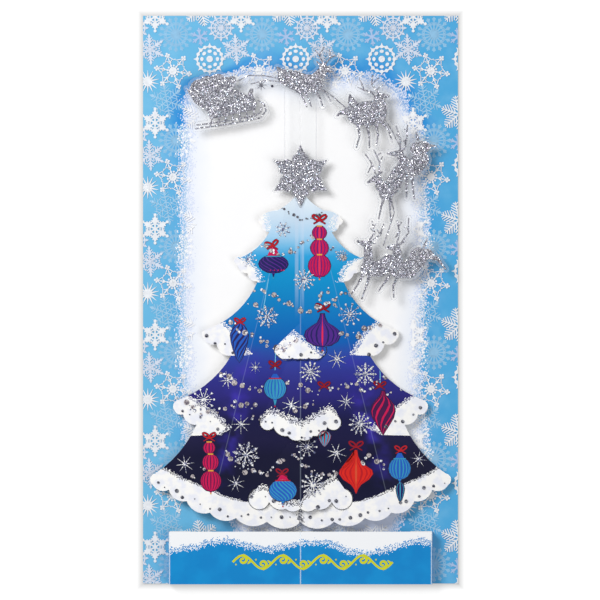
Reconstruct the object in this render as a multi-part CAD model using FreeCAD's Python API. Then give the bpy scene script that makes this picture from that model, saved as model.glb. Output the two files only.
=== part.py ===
import FreeCAD, Part
import math
import os
from FreeCAD import Vector

# Pop up card, opened flat on its back. Millimetres, +Y up the card, +Z towards the viewer.
# The origin is the middle of the card's back. Every raised piece mirrors across the card's fold, x = 0.

# Card
CARD_WIDTH = 116.5
CARD_HEIGHT = 210.0
CARD_THICKNESS = 0.4
SCORE_WIDTH = 0.5
SCORE_DEPTH = 0.12

# Tree: its folds all start from one point on the card's fold, above the tip
TREE_THICKNESS = 0.35
TREE_LIFT = 2.6
FOLD_APEX_Y = 55.4
SIDE_FOLD_FLARE = 0.25
PANEL_RISE = 0.055
WING_DROP = 0.08
SLIT_GAP = 0.3

# Hidden folded supports
SUPPORT_THICKNESS = 0.3
SPINE_FLANGE = 5.0
TREE_SPINE_TOP_Y = 28.0
TREE_SPINE_BOTTOM_Y = -6.0
RISER_TOP_Y = -6.5
RISER_BOTTOM_Y = -72.0
RISER_CARD_FLANGE = 5.0
RISER_TREE_FLANGE = 5.0

# Message band
BAND_WIDTH = 97.3
BAND_HEIGHT = 19.4
BAND_LIFT = 5.0
BAND_THICKNESS = 0.35
BAND_TAB = 8.0
BAND_FOLD_RADIUS = 0.5

# Clear film and the glitter on it
FILM_THICKNESS = 0.25
FILM_SEAT_GAP = 0.1
FILM_RISE = 0.03
FILM_STRIP_WIDTH = 11.8
FILM_STRIP_TOP_Y = 78.0
FILM_MARGIN = 1.0
STAR_MARGIN = 0.5
GLITTER_THICKNESS = 0.15
STAR_CENTRE_Y = 45.8
STAR_RADIUS = 11.4
STAR_ARMS = 6
STAR_ARM = [(0, 0), (2.6, 2.9), (4.6, 2.2), (5.4, 3.1), (7.0, 2.9), (8.2, 1.5), (STAR_RADIUS, 0)]
HARNESS_WIDTH = 0.35

CARD_TOP = CARD_THICKNESS
TREE_UNDERSIDE = CARD_TOP + TREE_LIFT
FILM_UNDERSIDE = TREE_UNDERSIDE + TREE_THICKNESS + FILM_SEAT_GAP
BAND_BOTTOM_Y = -CARD_HEIGHT / 2
BAND_TOP_Y = BAND_BOTTOM_Y + BAND_HEIGHT
FAR = 300.0
CHORD_ERROR = 0.05
WIDE_RADIUS = 1.0
WIDE_CHORD_ERROR = 0.12
PLAN_DECIMALS = 3

# Right half of the tree's cut edge, from the tip down: each tier is a hollow flank, a round tip and a
# lobed hem back to the next tier's notch. Points are (x, y).
TREE_APEX = (0.0, 40.6)
TIERS = [
    {"flank": [(3.0, 36.9), (8.6, 32.9)], "tip": [(14.6, 30.6), (15.7, 29.2)],
     "hem": [(14.3, 27.6), (11.5, 25.0)]},
    {"flank": [(15.6, 19.6), (22.2, 15.5)], "tip": [(24.5, 14.2), (23.3, 12.8)],
     "hem": [(19.6, 9.7), (15.9, 6.7)]},
    {"flank": [(20.6, -1.2), (33.6, -10.6)], "tip": [(36.3, -12.7), (35.6, -14.5)],
     "hem": [(31.0, -16.4), (25.7, -20.8)]},
    {"flank": [(31.8, -28.6), (45.0, -37.0)], "tip": [(47.1, -39.3), (46.4, -41.2)],
     "hem": [(43.4, -42.3), (38.4, -46.2)]},
    {"flank": [(44.2, -55.6), (53.6, -64.2)], "tip": [(55.6, -66.8), (54.6, -68.4)],
     "hem": [(48.6, -70.2), (42.0, -74.4), (33.4, -78.6), (23.8, -80.6), (12.4, -82.0), (0.0, -82.2)]},
]
HEM_BULGE = 0.2

# Skirts that fold forward from the tree: each starts at a point on the middle fold, is hinged on two
# slanting folds down to hinge_end_y, and hangs free below in a lobed hem.
SKIRTS = [
    {"apex_y": -8.5, "flare": 1.03, "top_y": -8.5, "hinge_end_y": -17.0,
     "tip": (9.6, -18.6), "hem": [(8.4, -20.6), (3.0, -21.4), (0.0, -21.6)], "rise": 0.15},
    {"apex_y": -12.1, "flare": 0.452, "top_y": -22.6, "hinge_end_y": -43.6,
     "tip": (14.9, -45.4), "hem": [(9.9, -46.9), (4.6, -50.2), (0.0, -51.6)], "rise": 0.068},
    {"apex_y": -46.6, "flare": 0.698, "top_y": -53.0, "hinge_end_y": -69.9,
     "tip": (18.9, -72.4), "hem": [(11.6, -74.6), (5.4, -77.2), (0.0, -77.0)], "rise": 0.084},
]

# Sleigh, as discs (x, y, radius) for the heaped sack, and outlines and strokes for the rest
SACK_HEAP = [(-37.6, 78.0, 3.2), (-34.4, 79.2, 3.4), (-30.6, 79.8, 3.6), (-27.4, 79.2, 3.0),
             (-25.3, 81.0, 1.6)]
SLEIGH_BODY = [(-42.2, 78.0), (-39.4, 76.6), (-23.4, 77.4), (-19.6, 75.4), (-18.8, 77.8), (-17.4, 78.0),
               (-17.6, 75.4), (-16.2, 72.6), (-16.8, 70.2), (-33.4, 66.6), (-34.6, 69.6), (-39.0, 72.6)]
RUNNER = [(-38.7, 63.1), (-25.4, 64.9), (-14.7, 67.2), (-12.7, 69.8), (-13.5, 72.3), (-15.6, 73.4)]
UPPER_RAIL = [(-38.2, 64.4), (-25.4, 66.2), (-16.7, 67.9), (-14.7, 69.2), (-14.3, 71.3)]
RUNNER_WIDTH = 0.55
STRUT_COUNT = 7
STRUT_TOPS = [(-32.4, 67.2), (-17.6, 70.6)]
STRUT_FEET = [(-33.4, 63.9), (-16.6, 66.8)]

# Reindeer poses. Each stroke is a row of joints (x, y); a body, neck, tail or head has a
# width at each joint, and legs, antlers and tines have the widths below.
LEAPING = {
    "masses": [([(-6.2, 0.8), (-2.6, 0.2), (1.8, -0.4), (5.2, 0.4)], [5.6, 7.0, 6.6, 6.2]),
               ([(-7.8, 2.4), (-9.6, 4.0)], [3.0, 0.8]), ([(5.6, 2.2), (7.4, 5.6)], [4.8, 3.0]),
               ([(7.0, 6.4), (10.6, 5.2)], [3.0, 1.0]), ([(6.4, 7.0), (4.4, 8.2)], [1.2, 0.4])],
    "legs": [[(6.6, -1.2), (9.4, -2.6), (11.6, -5.6)], [(5.0, -2.4), (7.4, -4.6), (9.0, -8.0)],
             [(-2.6, -2.4), (0.6, -4.6), (3.2, -8.8)], [(0.4, -2.6), (3.0, -5.0), (4.8, -8.4)]],
    "antlers": [[(6.8, 7.8), (5.2, 10.6), (6.4, 13.8)], [(7.6, 7.6), (9.2, 10.2), (8.6, 13.2)]],
    "tines": [[(5.2, 10.6), (3.4, 12.2)], [(9.2, 10.2), (11.0, 11.4)]],
}
TROTTING = {
    "masses": [([(-3.6, -0.2), (2.2, 0.2)], [8.4, 9.2]), ([(-5.2, 1.6), (-6.8, 6.6)], [5.0, 1.0]),
               ([(-4.6, 1.2), (-10.2, 0.2), (-11.6, -1.0)], [4.6, 1.4, 0.5]),
               ([(4.2, 2.0), (3.8, 6.2)], [5.6, 3.2]),
               ([(3.6, 6.2), (7.4, 6.4)], [3.2, 1.0]), ([(2.6, 6.8), (0.6, 8.0)], [1.2, 0.4])],
    "legs": [[(-3.8, -3.8), (-3.2, -8.6), (-4.4, -12.6)], [(-0.6, -4.0), (0.4, -8.4), (0.4, -12.6)],
             [(2.8, -4.0), (3.6, -8.0), (3.0, -11.8)], [(5.0, -3.0), (7.6, -6.4), (8.8, -10.6)]],
    "antlers": [[(2.6, 7.4), (-1.6, 8.6), (-3.2, 13.0)], [(3.6, 7.6), (1.2, 10.8), (1.6, 14.0)]],
    "tines": [[(-1.6, 8.6), (-3.8, 9.6)], [(1.2, 10.8), (3.8, 13.0)], [(3.0, 8.4), (5.2, 10.6)]],
}
LOOKING_BACK = {
    "masses": [
        ([(-1.5, -1.5), (1.5, 1.8), (3.4, 6.8)], [4.6, 6.0, 4.6]),
        ([(-3.1, 1.1), (-4.3, 4.4)], [3.7, 2.6]),
        ([(-4.3, 4.6), (-7.8, 2.8)], [2.7, 0.8]),
        ([(-4.8, 5.3), (-2.4, 6.7)], [0.9, 0.4]),
    ],
    "legs": [
        [(-1.9, -2.7), (-2.9, -6.2), (-3.8, -10.6)],
        [(0.4, -2.7), (0.4, -7.1), (0.6, -11.5)],
    ],
    "antlers": [
        [(-5.0, 5.8), (-6.2, 9.4), (-8.8, 13.3)],
        [(-3.7, 6.0), (-3.5, 10.0), (-5.6, 14.7)],
    ],
    "tines": [
        [(-6.2, 9.4), (-7.8, 6.4)],
        [(-3.5, 10.0), (-2.5, 12.3)],
        [(-4.3, 12.9), (-3.0, 13.6)],
    ],
}
STANDING = {
    "masses": [
        ([(-2.5, -2.5), (1.2, -2.2), (4.0, 0.6)], [5.8, 6.5, 5.7]),
        ([(2.7, 4.4), (5.0, 5.2)], [5.7, 4.6]),
        ([(2.7, 8.1), (2.1, 10.6)], [1.2, 0.5]),
        ([(6.5, 5.8), (9.6, 5.5)], [1.2, 0.4]),
        ([(-2.5, 0.0), (-4.0, 2.2)], [3.8, 2.7]),
        ([(-4.0, 2.7), (-8.4, 2.9)], [2.8, 0.8]),
        ([(-3.5, 4.0), (-1.7, 5.3)], [0.9, 0.4]),
    ],
    "legs": [
        [(-1.5, -4.7), (-1.5, -9.4), (-1.5, -13.6)],
        [(0.6, -4.7), (0.8, -9.4), (1.4, -13.9)],
    ],
    "antlers": [
        [(-3.8, 4.0), (-3.8, 8.3), (-5.3, 13.0)],
        [(-2.6, 4.0), (-1.4, 8.3), (-1.1, 13.3)],
    ],
    "tines": [
        [(-3.8, 8.3), (-5.2, 9.9)],
        [(-1.7, 7.6), (-3.2, 7.2)],
        [(-1.2, 10.6), (-2.2, 11.8)],
    ],
}
REACHING = {
    "masses": [
        ([(-2.9, -1.8), (1.8, -2.1), (5.2, 0.6)], [5.3, 5.7, 5.8]),
        ([(-2.5, 0.6), (-2.8, 5.9)], [3.8, 2.8]),
        ([(-2.8, 6.8), (-6.5, 8.3)], [3.0, 0.8]),
        ([(-2.1, 8.0), (0.1, 7.3)], [0.9, 0.4]),
    ],
    "legs": [
        [(-4.4, -3.8), (-6.5, -7.7), (-8.8, -11.2)],
        [(-2.1, -4.4), (-3.5, -8.8), (-5.0, -13.0)],
    ],
    "antlers": [
        [(-2.7, 8.1), (-0.2, 11.2), (-1.2, 15.6)],
        [(-1.8, 8.1), (1.8, 10.6), (3.1, 14.5)],
    ],
    "tines": [
        [(-0.2, 11.2), (-1.7, 12.9)],
        [(1.8, 10.6), (0.7, 12.5)],
        [(-0.6, 13.4), (0.2, 14.7)],
    ],
}
LANDING = {
    "masses": [
        ([(-3.5, -2.7), (0.6, -2.4), (4.1, 1.8)], [5.3, 5.9, 6.4]),
        ([(4.1, 2.9), (7.4, 3.5)], [6.3, 4.1]),
        ([(6.2, 6.4), (7.4, 9.1)], [1.2, 0.5]),
        ([(8.3, 3.1), (11.2, 1.7), (14.2, -2.1)], [3.0, 1.2, 0.5]),
        ([(-3.5, 0.0), (-3.8, 4.7)], [4.0, 3.1]),
        ([(-4.0, 5.9), (-7.7, 5.9)], [3.0, 0.9]),
        ([(-2.9, 7.1), (-0.8, 8.3)], [0.9, 0.4]),
    ],
    "legs": [
        [(-6.8, -4.7), (-8.6, -7.4), (-10.5, -10.0)],
        [(-3.5, -4.7), (-5.2, -8.3), (-5.0, -12.4)],
    ],
    "antlers": [
        [(-3.8, 7.3), (-2.9, 11.8), (-3.8, 15.9)],
        [(-2.0, 8.1), (0.4, 11.2), (0.5, 16.8)],
    ],
    "tines": [
        [(-2.9, 11.8), (-4.4, 9.7)],
        [(0.4, 12.4), (-1.1, 13.7)],
        [(-3.2, 13.9), (-2.2, 15.2)],
    ],
}
LEG_WIDTHS = [1.4, 0.62, 0.5]
ANTLER_WIDTHS = [0.62, 0.56, 0.42]
TINE_WIDTHS = [0.52, 0.38]

# Each reindeer: (pose, x, y, turn in degrees)
REINDEER = [
    (LEAPING, 0.4, 80.4, -8.0),
    (TROTTING, 25.0, 68.8, 0.0),
    (STANDING, 40.6, 51.1, 0.0),
    (LOOKING_BACK, 32.7, 40.5, 0.0),
    (REACHING, 27.6, 13.3, 0.0),
    (LANDING, 39.4, 13.3, 0.0),
]
HARNESS = [
    [(-23.4, 80.6), (-19.0, 82.8), (-13.0, 82.6), (-7.6, 81.6)],
    [(-18.4, 79.6), (-12.6, 81.0), (-7.6, 80.4)],
    [(6.0, 79.0), (11.4, 75.4), (17.2, 70.4)],
    [(30.0, 68.0), (33.4, 63.0), (38.0, 54.0)],
    [(32.4, 42.0), (34.6, 32.0), (30.6, 20.0)],
]
FILM_BRIDGE_WIDTH = 3.0


def face_of(points):
    """Flat face at z = 0 inside straight edges, always facing up."""
    corners = [Vector(round(x, PLAN_DECIMALS), round(y, PLAN_DECIMALS), 0) for x, y in points]
    turn = sum(a.x * b.y - b.x * a.y for a, b in zip(corners, corners[1:] + corners[:1]))
    if turn < 0:
        corners.reverse()
    return Part.Face(Part.makePolygon(corners + corners[:1]))


def arc(start, middle, end):
    """Points along the arc through three points, without its start."""
    curve = Part.Arc(Vector(*start, 0), Vector(*middle, 0), Vector(*end, 0)).toShape()
    return [(point.x, point.y) for point in curve.discretize(Deflection=CHORD_ERROR)[1:]]


def hem(points):
    """Row of lobes from the right tip in to the middle; they swell down and outward."""
    path = []
    for start, end in zip(points, points[1:]):
        dx = end[0] - start[0]
        dy = end[1] - start[1]
        middle = ((start[0] + end[0]) / 2 - dy * HEM_BULGE, (start[1] + end[1]) / 2 + dx * HEM_BULGE)
        path += arc(start, middle, end)
    return path


def mirrored_face(right):
    """Face inside a path on the right, which starts and ends on x = 0, and its mirror image."""
    left = [(-x, y) for x, y in reversed(right) if x > 0]
    return face_of(right + left)


def tree_face():
    """The tree's die-cut outline."""
    path = [TREE_APEX]
    for tier in TIERS:
        path += arc(path[-1], tier["flank"][0], tier["flank"][1])
        path += arc(path[-1], tier["tip"][0], tier["tip"][1])
        path += hem([tier["tip"][1]] + tier["hem"])
    return mirrored_face(path)


def skirt_face(skirt):
    """Outline of one skirt: top cut, slanting folds and lobed hem."""
    hinge_start = (skirt["flare"] * (skirt["apex_y"] - skirt["top_y"]), skirt["top_y"])
    hinge_end = (skirt["flare"] * (skirt["apex_y"] - skirt["hinge_end_y"]), skirt["hinge_end_y"])
    path = [(0.0, skirt["top_y"])]
    if hinge_start[0] > 0:
        path.append(hinge_start)
    path.append(hinge_end)
    path += arc(hinge_end, skirt["tip"], skirt["hem"][0])
    path += hem(skirt["hem"])
    return mirrored_face(path)


def skirt_window(skirt):
    """What the skirt leaves open in the sheet: its own outline and a slit round its free hem."""
    outline = skirt_face(skirt)
    start_y = skirt["hinge_end_y"]
    below_hinge = face_of([(-FAR, start_y), (FAR, start_y), (FAR, -FAR), (-FAR, -FAR)])
    slit = outline.makeOffset2D(SLIT_GAP).common(below_hinge)
    return outline.fuse(slit)


def tree_height(x, y):
    """Underside of the flat parts of the tree: middle panels rise to the side folds, wings fall."""
    reach = SIDE_FOLD_FLARE * (FOLD_APEX_Y - y)
    inside = min(abs(x), reach)
    beyond = abs(x) - inside
    return TREE_UNDERSIDE + PANEL_RISE * inside - WING_DROP * beyond


def skirt_height(skirt, x, y):
    """Underside of a skirt: its ridge rises from the apex, its slanting folds stay on the sheet."""
    ridge = skirt["rise"] * (skirt["apex_y"] - y)
    fall = skirt["rise"] / skirt["flare"] - PANEL_RISE
    return TREE_UNDERSIDE + ridge - fall * abs(x)


def film_height(x, y):
    """Underside of the film, which stands in a shallow V along the card's fold."""
    return FILM_UNDERSIDE + FILM_RISE * abs(x)


def card_height(x, y):
    """Face of the base card."""
    return CARD_TOP


def slab(points, height, lift, thickness):
    """Sheet over straight-edged points of the plan, lying on a height that is flat between them."""
    corners = [Vector(x, y, height(x, y) + lift) for x, y in points]
    return Part.Face(Part.makePolygon(corners + corners[:1])).extrude(Vector(0, 0, thickness))


def both_sides(points):
    """The points and their mirror image across x = 0."""
    return [points, [(-x, y) for x, y in points]]


def folded(panels, height, lift, thickness):
    """One sheet of panels that meet along folds; panels are given for x > 0 and mirrored."""
    slabs = [slab(side, height, lift, thickness) for panel in panels for side in both_sides(panel)]
    return slabs[0].multiFuse(slabs[1:])


def column(face):
    """Upright column over a face of the plan, tall enough to cut any sheet."""
    return face.extrude(Vector(0, 0, FAR))


def tree_panels():
    """Middle panel and wing, out past the outline."""
    reach = SIDE_FOLD_FLARE * (FOLD_APEX_Y + FAR)
    middle = [(0, FOLD_APEX_Y), (0, -FAR), (reach, -FAR)]
    wing = [(0, FOLD_APEX_Y), (reach, -FAR), (FAR, -FAR), (FAR, FOLD_APEX_Y)]
    return [middle, wing]


def v_panel(top_y=FAR, bottom_y=-FAR):
    """Panel from the card's fold out past every outline."""
    return [(0, top_y), (0, bottom_y), (FAR, bottom_y), (FAR, top_y)]


def make_tree():
    """Die-cut sheet with its windows, and the skirts hinged in them."""
    sheet = folded(tree_panels(), tree_height, 0, TREE_THICKNESS).common(column(tree_face()))
    for skirt in SKIRTS:
        sheet = sheet.cut(column(skirt_window(skirt)))
    for skirt in SKIRTS:
        surface = folded([v_panel()], lambda x, y: skirt_height(skirt, x, y), 0, TREE_THICKNESS)
        sheet = sheet.fuse(surface.common(column(skirt_face(skirt))))
    return sheet


def score(top):
    """Scored groove along the card's fold, in a face at the given height."""
    half = SCORE_WIDTH / 2
    section = [Vector(-half, -FAR, top), Vector(half, -FAR, top), Vector(0, -FAR, top - SCORE_DEPTH)]
    return Part.Face(Part.makePolygon(section + section[:1])).extrude(Vector(0, 2 * FAR, 0))


def make_card():
    """Base card with the score that it closes on."""
    corner = Vector(-CARD_WIDTH / 2, -CARD_HEIGHT / 2, 0)
    return Part.makeBox(CARD_WIDTH, CARD_HEIGHT, CARD_THICKNESS, corner).cut(score(CARD_TOP))


def make_riser(side):
    """Z-folded strip: flange on the card, wall under the side fold, flange under the middle panel."""
    def at(y, shift):
        return (side * (SIDE_FOLD_FLARE * (FOLD_APEX_Y - y) + shift), y)

    def strip(inner, outer):
        top, bottom = RISER_TOP_Y, RISER_BOTTOM_Y
        return [at(top, inner), at(bottom, inner), at(bottom, outer), at(top, outer)]

    foot = slab(strip(-SUPPORT_THICKNESS, RISER_CARD_FLANGE), card_height, 0, SUPPORT_THICKNESS)
    head = slab(strip(-RISER_TREE_FLANGE, 0), tree_height, -SUPPORT_THICKNESS, SUPPORT_THICKNESS)
    wall = column(face_of(strip(-SUPPORT_THICKNESS, 0)))
    round_wall = strip(-2 * SUPPORT_THICKNESS, SUPPORT_THICKNESS)
    above = slab(round_wall, tree_height_inside, 0, FAR)
    below = slab(round_wall, card_height, -FAR, FAR)
    return foot.multiFuse([head, wall.cut(above).cut(below)])


def tree_height_inside(x, y):
    """The middle panel's plane, carried on past the side fold."""
    return TREE_UNDERSIDE + PANEL_RISE * abs(x)


def make_spine(bottom_y, top_y, height, flange):
    """Strip folded to an upside-down T: two flanges on the card and a doubled wall."""
    length = top_y - bottom_y
    foot = Part.makeBox(2 * flange, length, SUPPORT_THICKNESS, Vector(-flange, bottom_y, CARD_TOP))
    wall = Part.makeBox(2 * SUPPORT_THICKNESS, length, height, Vector(-SUPPORT_THICKNESS, bottom_y, CARD_TOP))
    return foot.fuse(wall)


def make_band():
    """Strip folded down at both ends, with tabs turned in on the card, and a scored middle."""
    half = BAND_WIDTH / 2
    corner = Vector(-half, BAND_BOTTOM_Y, CARD_TOP)
    outside = Part.makeBox(BAND_WIDTH, BAND_HEIGHT, BAND_LIFT + BAND_THICKNESS, corner)
    inside = Part.makeBox(BAND_WIDTH - 2 * BAND_THICKNESS, BAND_HEIGHT, BAND_LIFT - BAND_THICKNESS,
                          corner + Vector(BAND_THICKNESS, 0, BAND_THICKNESS))
    between_tabs = Part.makeBox(BAND_WIDTH - 2 * BAND_TAB, BAND_HEIGHT, 2 * BAND_THICKNESS,
                                corner + Vector(BAND_TAB, 0, 0))
    long_folds = [edge for edge in outside.Edges if edge.BoundBox.YLength > BAND_HEIGHT / 2]
    hollow = outside.makeFillet(BAND_FOLD_RADIUS, long_folds).cut(inside).cut(between_tabs)
    return hollow.cut(score(CARD_TOP + BAND_LIFT + BAND_THICKNESS))


def stroke(points, widths, margin=0.0):
    """Faces of a tapering brush stroke: a disc at each joint and a straight piece between joints."""
    faces = []
    for (x, y), width in zip(points, widths):
        faces.append(disc(x, y, width / 2 + margin))
    for start, end, first, second in zip(points, points[1:], widths, widths[1:]):
        along = Vector(end[0] - start[0], end[1] - start[1], 0).normalize()
        across = Vector(-along.y, along.x, 0)
        a = across * (first / 2 + margin)
        b = across * (second / 2 + margin)
        s = Vector(*start, 0)
        e = Vector(*end, 0)
        faces.append(face_of([(corner.x, corner.y) for corner in (s + a, s - a, e - b, e + b)]))
    return faces


def disc(x, y, radius):
    """Round face, with as many sides as its size needs."""
    error = WIDE_CHORD_ERROR if radius > WIDE_RADIUS else CHORD_ERROR
    sides = math.ceil(math.pi / math.acos(1 - error / radius))
    turns = [2 * math.pi * index / sides for index in range(sides)]
    return face_of([(x + radius * math.cos(turn), y + radius * math.sin(turn)) for turn in turns])


def united(faces):
    """One shape of all the faces, with the seams between them taken out."""
    return Part.Shell(faces[0].multiFuse(faces[1:]).Faces).removeSplitter()


def reindeer_strokes(pose):
    """The pose as (points, widths) strokes."""
    strokes = list(pose["masses"])
    strokes += [(leg, LEG_WIDTHS) for leg in pose["legs"]]
    strokes += [(antler, ANTLER_WIDTHS) for antler in pose["antlers"]]
    strokes += [(tine, TINE_WIDTHS) for tine in pose["tines"]]
    return strokes


def placed(points, x, y, turn):
    """Points of a pose turned and moved to their place on the film."""
    cosine = math.cos(math.radians(turn))
    sine = math.sin(math.radians(turn))
    return [(x + px * cosine - py * sine, y + px * sine + py * cosine) for px, py in points]


def reindeer_faces(margin=0.0):
    """Every reindeer and harness line, grown by a margin for the film round them."""
    faces = []
    for pose, x, y, turn in REINDEER:
        for points, widths in reindeer_strokes(pose):
            faces += stroke(placed(points, x, y, turn), widths, margin)
    return faces


def line_faces(lines, width):
    """Strokes of one width."""
    return [face for line in lines for face in stroke(line, [width] * len(line))]


def between(start, end, share):
    """Point part of the way from start to end."""
    return (start[0] + share * (end[0] - start[0]), start[1] + share * (end[1] - start[1]))


def sleigh_faces(margin=0.0):
    """Sleigh, sack, rails and struts, grown by a margin for the film round them."""
    body = face_of(SLEIGH_BODY)
    faces = [body.makeOffset2D(margin) if margin else body]
    faces += [disc(x, y, radius + margin) for x, y, radius in SACK_HEAP]
    for line in (RUNNER, UPPER_RAIL):
        faces += stroke(line, [RUNNER_WIDTH] * len(line), margin)
    for index in range(STRUT_COUNT):
        share = index / (STRUT_COUNT - 1)
        strut = [between(*STRUT_TOPS, share), between(*STRUT_FEET, share)]
        faces += stroke(strut, [RUNNER_WIDTH, RUNNER_WIDTH], margin)
    return faces


def star_faces(margin=0.0):
    """Six leaf-shaped arms round the tree's tip, each with two shoulders."""
    outline = STAR_ARM + [(r, -side) for r, side in reversed(STAR_ARM[1:-1])]
    faces = []
    for index in range(STAR_ARMS):
        leaf = face_of(outline)
        if margin:
            leaf = leaf.makeOffset2D(margin)
        leaf.rotate(Vector(0, 0, 0), Vector(0, 0, 1), 90 + index * 360 / STAR_ARMS)
        leaf.translate(Vector(0, STAR_CENTRE_Y, 0))
        faces.append(leaf)
    return faces


def on_film(shape, lift, thickness):
    """Sheet of the given outline lying along the film's V."""
    return folded([v_panel()], film_height, lift, thickness).common(column(shape))


def make_film():
    """Clear film: strip, star margin, and the margins round sleigh, reindeer and harness."""
    strip = face_of([(-FILM_STRIP_WIDTH / 2, STAR_CENTRE_Y), (FILM_STRIP_WIDTH / 2, STAR_CENTRE_Y),
                     (FILM_STRIP_WIDTH / 2, FILM_STRIP_TOP_Y), (-FILM_STRIP_WIDTH / 2, FILM_STRIP_TOP_Y)])
    faces = [strip] + star_faces(STAR_MARGIN) + sleigh_faces(FILM_MARGIN) + reindeer_faces(FILM_MARGIN)
    faces += line_faces(HARNESS, FILM_BRIDGE_WIDTH)
    return on_film(united(faces), 0, FILM_THICKNESS)


def make_glitter(faces):
    """Raised glitter on the film's face."""
    return on_film(united(faces), FILM_THICKNESS, GLITTER_THICKNESS)


def main():
    """Builds every piece and writes one file for each."""
    pieces = {
        "base_card": make_card(),
        "tree": make_tree(),
        "tree_spine": make_spine(TREE_SPINE_BOTTOM_Y, TREE_SPINE_TOP_Y, TREE_LIFT, SPINE_FLANGE),
        "left_riser": make_riser(-1),
        "right_riser": make_riser(1),
        "message_band": make_band(),
        "band_spine": make_spine(BAND_BOTTOM_Y, BAND_TOP_Y, BAND_LIFT, SPINE_FLANGE),
        "ornament_film": make_film(),
        "star_glitter": make_glitter(star_faces()),
        "sleigh_glitter": make_glitter(sleigh_faces()),
        "reindeer_glitter": make_glitter(reindeer_faces() + line_faces(HARNESS, HARNESS_WIDTH)),
    }
    os.makedirs("parts", exist_ok=True)
    for name, shape in pieces.items():
        shape.exportStep(f"parts/{name}.step")
        print(name, len(shape.Solids), shape.isValid(), round(shape.Volume, 1))


main()
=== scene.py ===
import logging
import math
from dataclasses import dataclass, field
from enum import Enum
from typing import Sequence

import bmesh
import bpy
from mathutils import Matrix, Vector
from mathutils.bvhtree import BVHTree


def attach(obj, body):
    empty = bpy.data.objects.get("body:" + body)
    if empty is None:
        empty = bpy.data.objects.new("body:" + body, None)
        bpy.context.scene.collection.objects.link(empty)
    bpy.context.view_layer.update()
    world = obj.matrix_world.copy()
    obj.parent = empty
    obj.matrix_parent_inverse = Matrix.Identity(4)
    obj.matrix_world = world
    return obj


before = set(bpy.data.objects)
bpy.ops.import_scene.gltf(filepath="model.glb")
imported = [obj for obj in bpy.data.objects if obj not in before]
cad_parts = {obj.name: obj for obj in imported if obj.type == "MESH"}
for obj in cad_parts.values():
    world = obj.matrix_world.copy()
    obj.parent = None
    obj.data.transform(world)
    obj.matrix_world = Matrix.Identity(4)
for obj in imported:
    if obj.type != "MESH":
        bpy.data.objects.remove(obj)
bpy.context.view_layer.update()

# The card lies open on its back: X across, Y up the card, Z towards the viewer, origin in the middle of
# its back. Plan sizes are written in millimetres and made metres where a mesh is built.
MM = 0.001
WELD = 1e-7
Point = tuple[float, float]
Value = bpy.types.NodeSocket | float | Sequence[float]
log = logging.getLogger("card")


def ink_colour(red: int, green: int, blue: int) -> tuple[float, float, float, float]:
    """Turns a screen colour into the linear colour a shader takes.

    Args:
        red: Red, 0 to 255.
        green: Green, 0 to 255.
        blue: Blue, 0 to 255.

    Returns:
        Linear red, green, blue and a full alpha.
    """
    def linear(level: int) -> float:
        """Linear light of one channel."""
        share = level / 255
        return share / 12.92 if share <= 0.04045 else ((share + 0.055) / 1.055) ** 2.4
    return linear(red), linear(green), linear(blue), 1.0


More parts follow.
